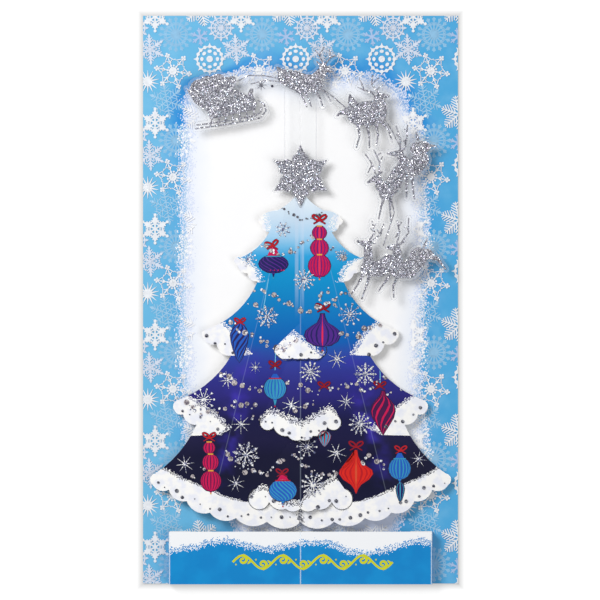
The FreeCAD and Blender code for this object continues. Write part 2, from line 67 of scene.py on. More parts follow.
class Graph:
    """Shader nodes of one material, on coordinates in millimetres."""

    def __init__(self, name: str) -> None:
        """Starts a material with a shader and the object's own coordinates.

        Args:
            name: Name of the material.
        """
        self.material = bpy.data.materials.new(name)
        self.material.use_nodes = True
        self.nodes = self.material.node_tree.nodes
        self.nodes.clear()
        self.shader = self.add("ShaderNodeBsdfPrincipled")
        output = self.add("ShaderNodeOutputMaterial")
        self.put(output.inputs["Surface"], self.shader.outputs[0])
        place = self.add("ShaderNodeTexCoord").outputs["Object"]
        scaled = self.add("ShaderNodeVectorMath", operation="SCALE")
        self.put(scaled.inputs[0], place)
        scaled.inputs["Scale"].default_value = 1 / MM
        self.place = scaled.outputs[0]
        split = self.add("ShaderNodeSeparateXYZ")
        self.put(split.inputs[0], self.place)
        self.x, self.y = split.outputs[:2]
        facing = self.add("ShaderNodeSeparateXYZ")
        self.put(facing.inputs[0], self.add("ShaderNodeNewGeometry").outputs["True Normal"])
        self.normal_y = facing.outputs["Y"]
        self.normal_z = facing.outputs["Z"]

    def add(self, kind: str, **settings: object) -> bpy.types.Node:
        """Adds a node.

        Args:
            kind: The node's type.
            **settings: Properties of the node.

        Returns:
            The new node.
        """
        node = self.nodes.new(kind)
        for key, value in settings.items():
            setattr(node, key, value)
        return node

    def put(self, socket: bpy.types.NodeSocket, value: Value) -> None:
        """Links a socket to the input, or writes a constant on it."""
        if isinstance(value, bpy.types.NodeSocket):
            self.material.node_tree.links.new(value, socket)
        else:
            socket.default_value = value

    def set(self, **values: Value) -> None:
        """Sets inputs of the shader; an underscore stands for a space."""
        for key, value in values.items():
            self.put(self.shader.inputs[key.replace("_", " ")], value)

    def math(self, operation: str, *values: Value) -> bpy.types.NodeSocket:
        """One step of arithmetic.

        Args:
            operation: Name of the operation.
            *values: Its operands.

        Returns:
            The result's socket.
        """
        node = self.add("ShaderNodeMath", operation=operation)
        for socket, value in zip(node.inputs, values):
            self.put(socket, value)
        return node.outputs[0]

    def ease(self, value: Value, start: float, end: float) -> bpy.types.NodeSocket:
        """Goes from 0 to 1 as the value goes from start to end.

        Args:
            value: What is measured.
            start: Value that gives 0.
            end: Value that gives 1.

        Returns:
            The eased share.
        """
        node = self.add("ShaderNodeMapRange", interpolation_type="SMOOTHSTEP")
        for socket, given in zip(node.inputs, (value, start, end, 0.0, 1.0)):
            self.put(socket, given)
        return node.outputs[0]

    def mix(self, share: Value, first: Value, second: Value) -> bpy.types.NodeSocket:
        """Mixes two colours.

        Args:
            share: 0 for the first colour, 1 for the second.
            first: First colour.
            second: Second colour.

        Returns:
            The mixed colour.
        """
        node = self.add("ShaderNodeMix", data_type="RGBA")
        for index, value in ((0, share), (6, first), (7, second)):
            self.put(node.inputs[index], value)
        return node.outputs[2]

    def ramp(self, value: Value, stops: Sequence[tuple[float, tuple]]) -> bpy.types.NodeSocket:
        """Colour that follows a value.

        Args:
            value: Share from 0 to 1.
            stops: Pairs of share and screen colour.

        Returns:
            The colour.
        """
        node = self.add("ShaderNodeValToRGB")
        elements = node.color_ramp.elements
        while len(elements) < len(stops):
            elements.new(0.5)
        for element, (share, shade) in zip(elements, sorted(stops)):
            element.position = share
            element.color = ink_colour(*shade)
        self.put(node.inputs[0], value)
        return node.outputs[0]

    def curve(self, value: Value, points: Sequence[Point]) -> bpy.types.NodeSocket:
        """Straight runs through points, held level past the ends.

        Args:
            value: What the curve is read at.
            points: The curve's points.

        Returns:
            The curve's height there.
        """
        ordered = sorted(points)
        first, last = ordered[0][0], ordered[-1][0]
        heights = [height for _, height in ordered]
        low, span = min(heights), max(max(heights) - min(heights), 1e-6)
        node = self.add("ShaderNodeFloatCurve")
        line = node.mapping.curves[0]
        for _ in ordered[2:]:
            line.points.new(0.5, 0.5)
        for point, (at, height) in zip(line.points, ordered):
            point.location = ((at - first) / (last - first), (height - low) / span)
            point.handle_type = "VECTOR"
        node.mapping.update()
        share = self.math("DIVIDE", self.math("SUBTRACT", value, first), last - first)
        self.put(node.inputs["Value"], share)
        return self.math("MULTIPLY_ADD", node.outputs[0], span, low)

    def noise(self, size: float, detail: float = 2.0) -> bpy.types.NodeSocket:
        """Cloudy noise with features of a size in millimetres."""
        node = self.add("ShaderNodeTexNoise")
        self.put(node.inputs["Vector"], self.place)
        node.inputs["Scale"].default_value = 1 / size
        node.inputs["Detail"].default_value = detail
        return node.outputs[0]

    def cells(self, size: float) -> tuple[bpy.types.NodeSocket, bpy.types.NodeSocket]:
        """Scattered cells over the plan.

        Args:
            size: Width of a cell in millimetres.

        Returns:
            Distance from the cell's middle, in cells, and the cell's random colour.
        """
        node = self.add("ShaderNodeTexVoronoi", voronoi_dimensions="2D")
        self.put(node.inputs["Vector"], self.place)
        node.inputs["Scale"].default_value = 1 / size
        return node.outputs["Distance"], node.outputs["Color"]

    def stipple(self, depth: Value, reach: float, size: float) -> bpy.types.NodeSocket:
        """Solid field that breaks up into dots at its edge.

        Args:
            depth: Distance inside the field's edge in millimetres.
            reach: How far out the dots go.
            size: Spacing of the dots.

        Returns:
            1 inside the field and on its dots, 0 elsewhere.
        """
        cover = self.ease(depth, -reach, reach * 0.8)
        away, shade = self.cells(size)
        chance = self.math("MULTIPLY", shade, 0.5)
        dot = self.math("LESS_THAN", away, 0.5)
        light = self.math("MULTIPLY", dot, self.math("LESS_THAN", chance, cover))
        bare = self.math("SUBTRACT", 1.0, cover)
        dark = self.math("MULTIPLY", dot, self.math("LESS_THAN", chance, bare))
        filled = self.math("SUBTRACT", 1.0, dark)
        inside = self.math("GREATER_THAN", cover, 0.5)
        return self.math("MULTIPLY_ADD", self.math("SUBTRACT", filled, light), inside, light)

    def bump(self, height: Value, strength: float, distance: float) -> None:
        """Gives the shader a bump.

        Args:
            height: Height pattern.
            strength: Share of the bump that is used.
            distance: Height of the pattern in millimetres.
        """
        node = self.add("ShaderNodeBump")
        self.put(node.inputs["Height"], height)
        node.inputs["Strength"].default_value = strength
        node.inputs["Distance"].default_value = distance * MM
        self.set(Normal=node.outputs[0])

    def printed(self, colour: Value, gloss: float) -> bpy.types.Material:
        """Finishes a printed card: ink on the face, white stock on cut edges and back.

        Args:
            colour: Colour of the printed face.
            gloss: Roughness of the coated face.

        Returns:
            The material.
        """
        face = self.math("GREATER_THAN", self.normal_z, 0.5)
        fibre = self.noise(0.25, 3.0)
        stock = self.mix(fibre, ink_colour(236, 234, 228), ink_colour(248, 246, 242))
        self.set(Base_Color=self.mix(face, stock, colour), Specular_IOR_Level=0.2)
        uneven = self.math("MULTIPLY_ADD", self.noise(6.0), 0.12, gloss - 0.06)
        self.set(Roughness=self.math("MAXIMUM", uneven, self.math("MULTIPLY_ADD", face, -0.8, 0.8)))
        self.bump(fibre, 0.25, 0.02)
        return self.material


class Mist:
    """White misty field in the middle of the base card's print, and its dotted edge."""

    LEFT: tuple[Point, ...] = ((86.0, -20.0), (84.2, -24.0), (81.3, -37.2), (73.9, -41.6), (60.9, -42.4),
                               (-0.1, -43.5), (-37.1, -42.4), (-55.6, -40.9), (-66.7, -35.3), (-79.7, -25.0),
                               (-88.0, -22.0))
    RIGHT: tuple[Point, ...] = ((84.2, 35.0), (73.9, 36.8), (62.8, 43.5), (18.4, 46.1), (-11.2, 44.2),
                                (-37.1, 43.1), (-55.6, 46.1), (-66.7, 42.4), (-79.7, 36.8), (-88.0, 33.0))
    TOP: tuple[Point, ...] = ((-44.0, 74.0), (-38.0, 81.0), (-24.0, 83.0), (-12.0, 84.5), (4.0, 80.0),
                              (18.0, 82.5), (30.0, 81.0), (37.0, 76.0))
    FOOT = -87.0

    @staticmethod
    def read(points: Sequence[Point], at: float) -> float:
        """Height of a curve at a place, held level past its ends.

        Args:
            points: The curve's points.
            at: Where it is read.

        Returns:
            The height there.
        """
        ordered = sorted(points)
        if at <= ordered[0][0]:
            return ordered[0][1]
        for (low, first), (high, second) in zip(ordered, ordered[1:]):
            if at <= high:
                return first + (second - first) * (at - low) / (high - low)
        return ordered[-1][1]

    @classmethod
    def inside(cls, x: float, y: float) -> float:
        """Distance of a place inside the field's edge, in millimetres, without its small waves."""
        return min(x - cls.read(cls.LEFT, y), cls.read(cls.RIGHT, y) - x,
                   cls.read(cls.TOP, x) - y, y - cls.FOOT)

    @classmethod
    def depth(cls, graph: Graph) -> bpy.types.NodeSocket:
        """Distance inside the field's edge.

        Args:
            graph: Shader nodes to work in.

        Returns:
            Millimetres inside the edge, less than 0 outside.
        """
        left = graph.math("SUBTRACT", graph.x, graph.curve(graph.y, cls.LEFT))
        right = graph.math("SUBTRACT", graph.curve(graph.y, cls.RIGHT), graph.x)
        top = graph.math("SUBTRACT", graph.curve(graph.x, cls.TOP), graph.y)
        foot = graph.math("SUBTRACT", graph.y, cls.FOOT)
        sides = graph.math("MINIMUM", left, right)
        ends = graph.math("MINIMUM", top, foot)
        wave = graph.math("MULTIPLY_ADD", graph.noise(6.0, 2.0), 4.0, -2.0)
        return graph.math("ADD", graph.math("MINIMUM", sides, ends), wave)

    @classmethod
    def cover(cls, graph: Graph, depth: Value) -> bpy.types.NodeSocket:
        """White dots over a soft haze.

        Args:
            graph: Shader nodes to work in.
            depth: Distance inside the field's edge.

        Returns:
            Share of white.
        """
        haze = graph.math("MULTIPLY", graph.ease(depth, -2.5, 3.0), 0.85)
        return graph.math("MAXIMUM", graph.stipple(depth, 5.0, 0.55), haze)


@dataclass(frozen=True)
class Ink:
    """Flat printing ink of one colour."""

    name: str
    shade: tuple[int, int, int]
    misty: bool = False
    roughness: float = 0.38

    def make(self) -> bpy.types.Material:
        """Builds the ink, with the small unevenness of print on coated card."""
        graph = Graph(self.name)
        red, green, blue = self.shade
        darker = ink_colour(int(red * 0.88), int(green * 0.88), int(blue * 0.9))
        colour = graph.mix(graph.noise(1.5, 3.0), darker, ink_colour(*self.shade))
        if self.misty:
            colour = graph.mix(Mist.cover(graph, Mist.depth(graph)), colour, ink_colour(247, 248, 251))
        graph.set(Base_Color=colour, Roughness=self.roughness, Specular_IOR_Level=0.2)
        graph.bump(graph.noise(0.25, 3.0), 0.2, 0.02)
        return graph.material


@dataclass(frozen=True)
class Foil:
    """Hot foil pressed into the print."""

    name: str
    shade: tuple[int, int, int]
    # Darker tone of the foil's painted reflections
    deep: tuple[int, int, int]
    roughness: float = 0.28

    def make(self) -> bpy.types.Material:
        """Builds the foil: bright metal with darker patches of painted reflection and fine crinkles."""
        graph = Graph(self.name)
        # Darker patches are painted reflections on the foil
        patches = graph.ease(graph.noise(0.6, 2.0), 0.42, 0.56)
        graph.set(Base_Color=graph.mix(patches, ink_colour(*self.deep), ink_colour(*self.shade)),
                  Metallic=0.7, Roughness=self.roughness)
        graph.bump(graph.noise(0.35, 3.0), 0.5, 0.05)
        return graph.material


@dataclass(frozen=True)
class SkyPrint:
    """Print of the base card: sky blue, deeper to the right and round the top of the misty field."""

    name: str = "sky_print"

    def make(self) -> bpy.types.Material:
        """Builds the print."""
        graph = Graph(self.name)
        depth = Mist.depth(graph)
        across = graph.ease(graph.x, -58.0, 58.0)
        sky = graph.mix(across, ink_colour(104, 182, 224), ink_colour(78, 168, 220))
        high = graph.math("MULTIPLY_ADD", graph.ease(graph.y, 42.0, 68.0), 0.75, 0.25)
        near = graph.math("MULTIPLY", graph.ease(depth, -11.0, -2.0), high)
        sky = graph.mix(near, sky, ink_colour(38, 140, 214))
        cloud = graph.ease(graph.noise(9.0, 3.0), 0.42, 0.7)
        sky = graph.mix(graph.math("MULTIPLY", cloud, 0.25), sky, ink_colour(140, 200, 234))
        white = graph.mix(graph.ease(depth, 0.0, 12.0), ink_colour(232, 238, 249), ink_colour(250, 250, 251))
        edge = graph.stipple(graph.math("SUBTRACT", 1.0, depth), 5.0, 0.5)
        foot = graph.ease(graph.y, -77.0, -81.0)
        lilac = graph.math("MAXIMUM", graph.math("MULTIPLY", edge, 0.6), graph.math("MULTIPLY", foot, 0.75))
        white = graph.mix(lilac, white, ink_colour(204, 214, 242))
        return graph.printed(graph.mix(Mist.cover(graph, depth), sky, white), 0.42)


@dataclass(frozen=True)
class TreePrint:
    """Print of the tree: pale crown, bright blue middle, indigo foot and snow along the hems, with pale fold
    lines that are partly painted highlight, and a painted sheen beside the middle fold.
    """

    name: str = "tree_print"
    top: float = 40.6
    foot: float = -82.2
    fold_apex: float = 55.4
    fold_flare: float = 0.25
    # Streaks of painted sheen beside the middle fold: (middle, half width)
    sheen_streaks: tuple = ((-1.4, 0.9), (0.8, 0.7))
    gradient: tuple = (
        (1.0, (226, 237, 246)), (0.955, (218, 232, 244)), (0.903, (194, 218, 238)), (0.861, (166, 208, 238)),
        (0.831, (116, 188, 230)), (0.801, (44, 160, 218)), (0.753, (0, 146, 204)), (0.669, (0, 128, 194)),
        (0.593, (0, 108, 184)), (0.540, (4, 92, 176)), (0.512, (38, 76, 164)), (0.482, (44, 60, 154)),
        (0.452, (44, 50, 142)), (0.415, (40, 40, 128)), (0.379, (38, 34, 116)), (0.343, (28, 28, 88)),
        (0.307, (20, 20, 66)), (0.247, (22, 20, 62)), (0.199, (12, 12, 48)), (0.126, (12, 14, 46)),
        (0.067, (14, 16, 50)))
    # Inner edge of the snow on the tiers' tips: (y, distance from the middle)
    snow: tuple = (
        (34.4, 60.0), (34.0, 15.5), (31.0, 13.0), (27.0, 12.0), (25.0, 13.0), (24.6, 60.0),
        (16.0, 60.0), (15.8, 23.5), (13.9, 18.7), (11.0, 16.1), (6.4, 15.0), (6.2, 60.0),
        (-6.0, 60.0), (-6.4, 30.5), (-8.3, 28.7), (-13.3, 23.3), (-17.9, 20.9), (-20.6, 18.8), (-21.0, 60.0),
        (-35.0, 60.0), (-35.4, 42.0), (-36.6, 40.3), (-40.1, 34.8), (-44.1, 29.6), (-47.8, 27.0),
        (-50.2, 31.5), (-50.6, 60.0), (-60.0, 60.0), (-60.4, 53.6), (-61.9, 51.8), (-66.0, 44.0),
        (-68.2, 38.1), (-71.9, 30.0), (-74.6, 22.0), (-76.0, 0.0), (-83.0, 0.0))
    # Top edge of the snow on the three skirts: (x, y)
    upper_skirt: tuple = ((-9.6, -17.5), (-8.7, -16.9), (-3.3, -11.7), (2.3, -16.0), (7.0, -19.9),
                          (9.6, -21.5))
    middle_skirt: tuple = ((-14.9, -44.5), (-10.7, -41.1), (-5.0, -43.6), (0.3, -46.0), (5.4, -43.4),
                           (10.8, -39.9), (15.2, -43.7))
    lower_skirt: tuple = ((-18.9, -72.7), (-15.9, -69.7), (-12.4, -69.6), (-9.8, -73.4), (-5.0, -75.0),
                          (0.4, -75.6), (2.1, -72.2), (8.0, -69.0), (13.1, -65.4), (20.1, -71.2))

    def make(self) -> bpy.types.Material:
        """Builds the print.

        Returns:
            The tree's material.
        """
        graph = Graph(self.name)
        share = graph.math("DIVIDE", graph.math("SUBTRACT", graph.y, self.foot), self.top - self.foot)
        colour = graph.ramp(share, self.gradient)
        aside = graph.math("ABSOLUTE", graph.x)
        side_fold = graph.math("MULTIPLY", graph.math("SUBTRACT", self.fold_apex, graph.y), self.fold_flare)
        from_fold = graph.math("ABSOLUTE", graph.math("SUBTRACT", aside, side_fold))
        low = graph.math("MULTIPLY", graph.ease(graph.y, -14.0, -30.0), graph.ease(graph.y, -78.0, -48.0))
        patches = graph.ease(graph.noise(7.0), 0.35, 0.75)
        glow = graph.math("MULTIPLY", graph.ease(from_fold, 7.0, 0.0), patches)
        colour = graph.mix(graph.math("MULTIPLY", glow, low), colour, ink_colour(60, 48, 170))
        shade = graph.ease(graph.noise(3.5, 2.0), 0.35, 0.6)
        snow = graph.mix(shade, ink_colour(234, 236, 245), ink_colour(249, 248, 246))
        colour = graph.mix(self.snow_cover(graph, aside), colour, snow)
        # Pale lines along the side folds and the middle fold: partly paper showing where the ink cracks on
        # the fold, partly a painted highlight on the fold's ridge
        fold_wear_and_highlight = graph.math("MAXIMUM", graph.math("MULTIPLY", graph.ease(from_fold, 0.24, 0.08), 0.1),
                            graph.math("MULTIPLY", graph.ease(aside, 0.3, 0.1), 0.16))
        # The painted sheen joins the fold lines in the same pale tone
        fold_wear_and_painted_sheen = graph.math("MAXIMUM", fold_wear_and_highlight, self.sheen(graph))
        colour = graph.mix(fold_wear_and_painted_sheen, colour, ink_colour(206, 220, 240))
        return graph.printed(colour, 0.36)

    def sheen(self, graph: Graph) -> bpy.types.NodeSocket:
        """Painted sheen: pale streaks of reflected light that run down beside the middle fold from the crown.

        Args:
            graph: Shader nodes to work in.

        Returns:
            Share of the painted sheen's pale tone.
        """
        sheen_streaks = []
        for middle, half in self.sheen_streaks:
            away = graph.math("ABSOLUTE", graph.math("SUBTRACT", graph.x, middle))
            sheen_streaks.append(graph.ease(away, half, half * 0.4))
        both = graph.math("MAXIMUM", *sheen_streaks)
        fade = graph.ease(graph.y, -8.0, 8.0)
        return graph.math("MULTIPLY", graph.math("MULTIPLY", both, fade), 0.3)

    def snow_cover(self, graph: Graph, aside: Value) -> bpy.types.NodeSocket:
        """Snow on the tiers' tips and along the skirts' hems.

        Args:
            graph: Shader nodes to work in.
            aside: Distance from the middle fold.

        Returns:
            1 where there is snow.
        """
        wave = graph.math("MULTIPLY_ADD", graph.noise(2.2, 3.0), 2.6, -1.3)
        tips = graph.math("SUBTRACT", aside, graph.curve(graph.y, self.snow))
        tips = graph.math("ADD", tips, wave)
        upper = graph.math("SUBTRACT", graph.curve(graph.x, self.upper_skirt), graph.y)
        middle = graph.math("SUBTRACT", graph.curve(graph.x, self.middle_skirt), graph.y)
        lower = graph.math("SUBTRACT", graph.curve(graph.x, self.lower_skirt), graph.y)
        below_upper = graph.math("LESS_THAN", graph.y, -21.8)
        below_middle = graph.math("LESS_THAN", graph.y, -52.0)
        skirt = self.choose(graph, below_middle, self.choose(graph, below_upper, upper, middle), lower)
        skirt = graph.math("ADD", skirt, wave)
        on_skirt = graph.math("GREATER_THAN", graph.normal_y, 0.05)
        return graph.stipple(self.choose(graph, on_skirt, tips, skirt), 2.8, 0.4)

    @staticmethod
    def choose(graph: Graph, second: Value, first_value: Value, second_value: Value) -> bpy.types.NodeSocket:
        """Takes one of two numbers.

        Args:
            graph: Shader nodes to work in.
            second: 1 to take the second number, 0 for the first.
            first_value: First number.
            second_value: Second number.

        Returns:
            The number that was taken.
        """
        change = graph.math("SUBTRACT", second_value, first_value)
        return graph.math("MULTIPLY_ADD", change, second, first_value)


@dataclass(frozen=True)
class BandPrint:
    """Print of the message band: bright blue under drifted snow, with pale fold lines that are partly worn
    paper and partly painted highlight.
    """

    name: str = "band_print"
    half_width: float = 48.65
    drift: tuple = ((-48.7, -92.2), (-38.0, -90.6), (-27.9, -88.2), (-19.0, -90.6), (-11.3, -91.9),
                    (0.0, -89.3), (10.9, -89.3), (17.0, -92.4), (23.9, -93.7), (33.0, -91.6), (44.2, -88.2),
                    (48.7, -90.0))

    def make(self) -> bpy.types.Material:
        """Builds the print."""
        graph = Graph(self.name)
        patches = graph.ease(graph.noise(8.0), 0.35, 0.7)
        blue = graph.mix(patches, ink_colour(12, 132, 202), ink_colour(16, 142, 210))
        wave = graph.math("MULTIPLY_ADD", graph.noise(2.5, 3.0), 2.4, -1.2)
        depth = graph.math("ADD", graph.math("SUBTRACT", graph.y, graph.curve(graph.x, self.drift)), wave)
        colour = graph.mix(graph.stipple(depth, 2.8, 0.42), blue, ink_colour(246, 248, 251))
        aside = graph.math("ABSOLUTE", graph.x)
        # Pale lines along the band's end folds and middle fold: partly paper showing where the ink is worn at
        # the fold, partly a painted highlight
        edge = graph.math("ABSOLUTE", graph.math("SUBTRACT", aside, self.half_width - 0.3))
        fold_wear_and_highlight = graph.math("MAXIMUM", graph.ease(edge, 0.35, 0.12), graph.ease(aside, 0.3, 0.08))
        colour = graph.mix(graph.math("MULTIPLY", fold_wear_and_highlight, 0.6), colour, ink_colour(226, 236, 246))
        wall = graph.math("LESS_THAN", graph.normal_z, 0.5)
        side = graph.math("MULTIPLY", wall, graph.math("GREATER_THAN", aside, self.half_width - 0.2))
        material = graph.printed(colour, 0.36)
        face = graph.shader.inputs["Base Color"].links[0].from_socket
        graph.set(Base_Color=graph.mix(side, face, blue))
        return material


@dataclass(frozen=True)
class PlainStock:
    """Uncoated white paper of the folded supports."""

    name: str = "plain_stock"

    def make(self) -> bpy.types.Material:
        """Builds the paper, with its fibres."""
        graph = Graph(self.name)
        fibre = graph.noise(0.3, 4.0)
        paper = graph.mix(fibre, ink_colour(232, 230, 224), ink_colour(247, 246, 242))
        graph.set(Base_Color=paper, Roughness=0.85)
        graph.bump(fibre, 0.35, 0.03)
        return graph.material


@dataclass(frozen=True)
class ClearFilm:
    """Clear plastic film with a faint sheen."""

    name: str = "clear_film"

    def make(self) -> bpy.types.Material:
        """Builds the film; its cut edges are painted grey and less clear than its face, a painted shade for
        the line that light draws along a clear edge.
        """
        graph = Graph(self.name)
        tint = graph.mix(graph.noise(14.0), ink_colour(236, 240, 244), ink_colour(250, 251, 252))
        face = graph.math("GREATER_THAN", graph.math("ABSOLUTE", graph.normal_z), 0.5)
        # Painted shade: the cut edges are grey and less clear than the face
        graph.set(Base_Color=graph.mix(face, ink_colour(150, 156, 166), tint), Roughness=0.09, IOR=1.55)
        graph.set(Alpha=graph.math("MULTIPLY_ADD", face, -0.52, 0.6))
        return graph.material


@dataclass(frozen=True)
class CutEdge:
    """Painted light and shade of the film's die-cut edge: a grey line, duller than its face."""

    name: str = "film_cut_edge"

    def make(self) -> bpy.types.Material:
        """Builds the edge."""
        graph = Graph(self.name)
        tone = graph.mix(graph.noise(2.0), ink_colour(132, 138, 152), ink_colour(206, 212, 222))
        graph.set(Base_Color=tone, Roughness=0.3, Alpha=0.5)
        return graph.material


@dataclass(frozen=True)
class GlitterBase:
    """Glitter lacquer under the loose flakes: dark and coarse."""

    name: str = "glitter_base"

    def make(self) -> bpy.types.Material:
        """Builds the lacquer out of small cells, each with its own tilt and its own grey from dark to near
        white, which paints glints and shade of flakes that face the light or turn away.
        """
        graph = Graph(self.name)
        _, shade = graph.cells(0.3)
        tone = graph.add("ShaderNodeSeparateColor")
        graph.put(tone.inputs[0], shade)
        # Painted glints and shade: each cell takes a grey from dark to near white
        grey = graph.ramp(tone.outputs[0], ((0.0, (86, 86, 98)), (0.45, (128, 128, 140)),
                                            (0.8, (176, 176, 188)), (1.0, (242, 242, 250))))
        graph.set(Base_Color=grey, Metallic=0.5, Roughness=0.35)
        graph.bump(tone.outputs[1], 0.8, 0.12)
        return graph.material


@dataclass(frozen=True)
class GlitterFlake:
    """Metal flakes that each carry their own tint: lilac and blue-grey hues, and greys from dark to white
    that paint glints and shade.
    """

    name: str = "glitter_flake"

    def make(self) -> bpy.types.Material:
        """Builds the flakes' metal from their tint attribute."""
        graph = Graph(self.name)
        tint = graph.add("ShaderNodeAttribute", attribute_name="tint").outputs["Fac"]
        # The greys from dark to white are painted glints and shade; the lilac and blue-grey hues are the
        # flakes' own
        colour = graph.ramp(tint, ((0.0, (76, 76, 88)), (0.2, (116, 114, 124)), (0.34, (146, 146, 162)),
                                   (0.46, (188, 176, 196)), (0.56, (158, 180, 192)), (0.68, (202, 202, 214)),
                                   (0.8, (244, 244, 250)), (1.0, (255, 255, 255))))
        graph.set(Base_Color=colour, Metallic=0.6, Roughness=0.24)
        return graph.material


class NodeRecipe:
    """Geometry Nodes tree with named inputs, ending in real geometry with a material."""

    def __init__(self, name: str, sizes: dict[str, tuple[str, float]]) -> None:
        """Starts the tree.

        Args:
            name: Name of the tree.
            sizes: For each named input, its socket type and its usual value.
        """
        self.group = bpy.data.node_groups.new(name, "GeometryNodeTree")
        sockets = self.group.interface
        sockets.new_socket("Geometry", in_out="INPUT", socket_type="NodeSocketGeometry")
        for label, (kind, value) in sizes.items():
            sockets.new_socket(label, in_out="INPUT", socket_type=kind).default_value = value
        sockets.new_socket("Finish", in_out="INPUT", socket_type="NodeSocketMaterial")
        sockets.new_socket("Geometry", in_out="OUTPUT", socket_type="NodeSocketGeometry")
        self.given = self.add("NodeGroupInput").outputs
        self.result = self.add("NodeGroupOutput").inputs[0]

    def add(self, kind: str, inputs: dict[str | int, object] | None = None,
            **settings: object) -> bpy.types.Node:
        """Adds a node and fills its inputs.

        Args:
            kind: The node's type.
            inputs: Sockets to link or constants to write, by the input's name or number.
            **settings: Properties of the node.

        Returns:
            The new node.
        """
        node = self.group.nodes.new(kind)
        for key, value in settings.items():
            setattr(node, key, value)
        for key, value in (inputs or {}).items():
            if isinstance(value, bpy.types.NodeSocket):
                self.group.links.new(value, node.inputs[key])
            else:
                node.inputs[key].default_value = value
        return node

    def math(self, operation: str, first: object, second: object) -> bpy.types.NodeSocket:
        """One step of arithmetic on sockets or constants."""
        return self.add("ShaderNodeMath", {0: first, 1: second}, operation=operation).outputs[0]

    def vector(self, x: object = 0.0, y: object = 0.0, z: object = 0.0) -> bpy.types.NodeSocket:
        """Vector put together from sockets or constants."""
        return self.add("ShaderNodeCombineXYZ", {"X": x, "Y": y, "Z": z}).outputs[0]

    def spread(self, low: object, high: object, seed: object = 0,
               vector: bool = False) -> bpy.types.NodeSocket:
        """Random value for each point.

        Args:
            low: Lowest value.
            high: Highest value.
            seed: Seed of the draw.
            vector: Whether the value is a vector.

        Returns:
            The value's socket.
        """
        first, kind, result = (0, "FLOAT_VECTOR", 0) if vector else (2, "FLOAT", 1)
        given = {first: low, first + 1: high, "Seed": seed}
        node = self.add("FunctionNodeRandomValue", given, data_type=kind)
        return node.outputs[result]

    def end(self, geometry: bpy.types.NodeSocket) -> "NodeRecipe":
        """Realizes the instances, sets the material and closes the tree."""
        real = self.add("GeometryNodeRealizeInstances", {"Geometry": geometry}).outputs[0]
        dressed = self.add("GeometryNodeSetMaterial", {"Geometry": real, "Material": self.given["Finish"]})
        self.group.links.new(dressed.outputs[0], self.result)
        return self

    def bake(self, mesh: bpy.types.Mesh, finish: bpy.types.Material, **values: float) -> bpy.types.Mesh:
        """Runs the tree on a mesh.

        Args:
            mesh: Mesh that goes in.
            finish: Material of the result.
            **values: Named inputs, with underscores for spaces.

        Returns:
            The result as a plain mesh.
        """
        carrier = bpy.data.objects.new("carrier", mesh)
        bpy.context.scene.collection.objects.link(carrier)
        modifier = carrier.modifiers.new("recipe", "NODES")
        modifier.node_group = self.group
        wanted = {key.replace("_", " "): value for key, value in values.items()}
        wanted["Finish"] = finish
        for item in self.group.interface.items_tree:
            if item.in_out == "INPUT" and item.name in wanted:
                modifier[item.identifier] = wanted[item.name]
        bpy.context.view_layer.update()
        evaluated = carrier.evaluated_get(bpy.context.evaluated_depsgraph_get())
        made = bpy.data.meshes.new_from_object(evaluated, preserve_all_data_layers=True,
                                               depsgraph=bpy.context.evaluated_depsgraph_get())
        bpy.data.objects.remove(carrier)
        return made


def ring_recipe() -> NodeRecipe:
    """Repeats one arm round the middle.

    Returns:
        The tree, with the number of arms, and the step up from one to the next, as inputs.
    """
    recipe = NodeRecipe("arms_round_a_middle", {
        "Arms": ("NodeSocketInt", 6), "Rise": ("NodeSocketFloat", 1e-6)})
    number = recipe.add("GeometryNodeInputIndex").outputs[0]
    level = recipe.vector(z=recipe.math("MULTIPLY", number, recipe.given["Rise"]))
    points = recipe.add("GeometryNodePoints", {"Count": recipe.given["Arms"], "Position": level})
    step = recipe.math("DIVIDE", math.tau, recipe.given["Arms"])
    turn = recipe.vector(z=recipe.math("MULTIPLY", number, step))
    rotation = recipe.add("FunctionNodeEulerToRotation", {"Euler": turn})
    arms = recipe.add("GeometryNodeInstanceOnPoints", {
        "Points": points.outputs[0], "Instance": recipe.given["Geometry"], "Rotation": rotation.outputs[0]})
    return recipe.end(arms.outputs[0])


def tile_recipe() -> NodeRecipe:
    """Repeats a print over the card in rows and columns.

    Returns:
        The tree, with the repeat's two steps and two counts as inputs.
    """
    recipe = NodeRecipe("print_repeat", {
        "Across": ("NodeSocketFloat", 0.0318), "Up": ("NodeSocketFloat", 0.0392),
        "Columns": ("NodeSocketInt", 5), "Rows": ("NodeSocketInt", 7)})
    sizes = [recipe.math("MULTIPLY", recipe.math("SUBTRACT", recipe.given[count], 1), recipe.given[step])
             for step, count in (("Across", "Columns"), ("Up", "Rows"))]
    grid = recipe.add("GeometryNodeMeshGrid", {
        "Size X": sizes[0], "Size Y": sizes[1],
        "Vertices X": recipe.given["Columns"], "Vertices Y": recipe.given["Rows"]})
    copies = recipe.add("GeometryNodeInstanceOnPoints", {
        "Points": grid.outputs[0], "Instance": recipe.given["Geometry"]})
    return recipe.end(copies.outputs[0])


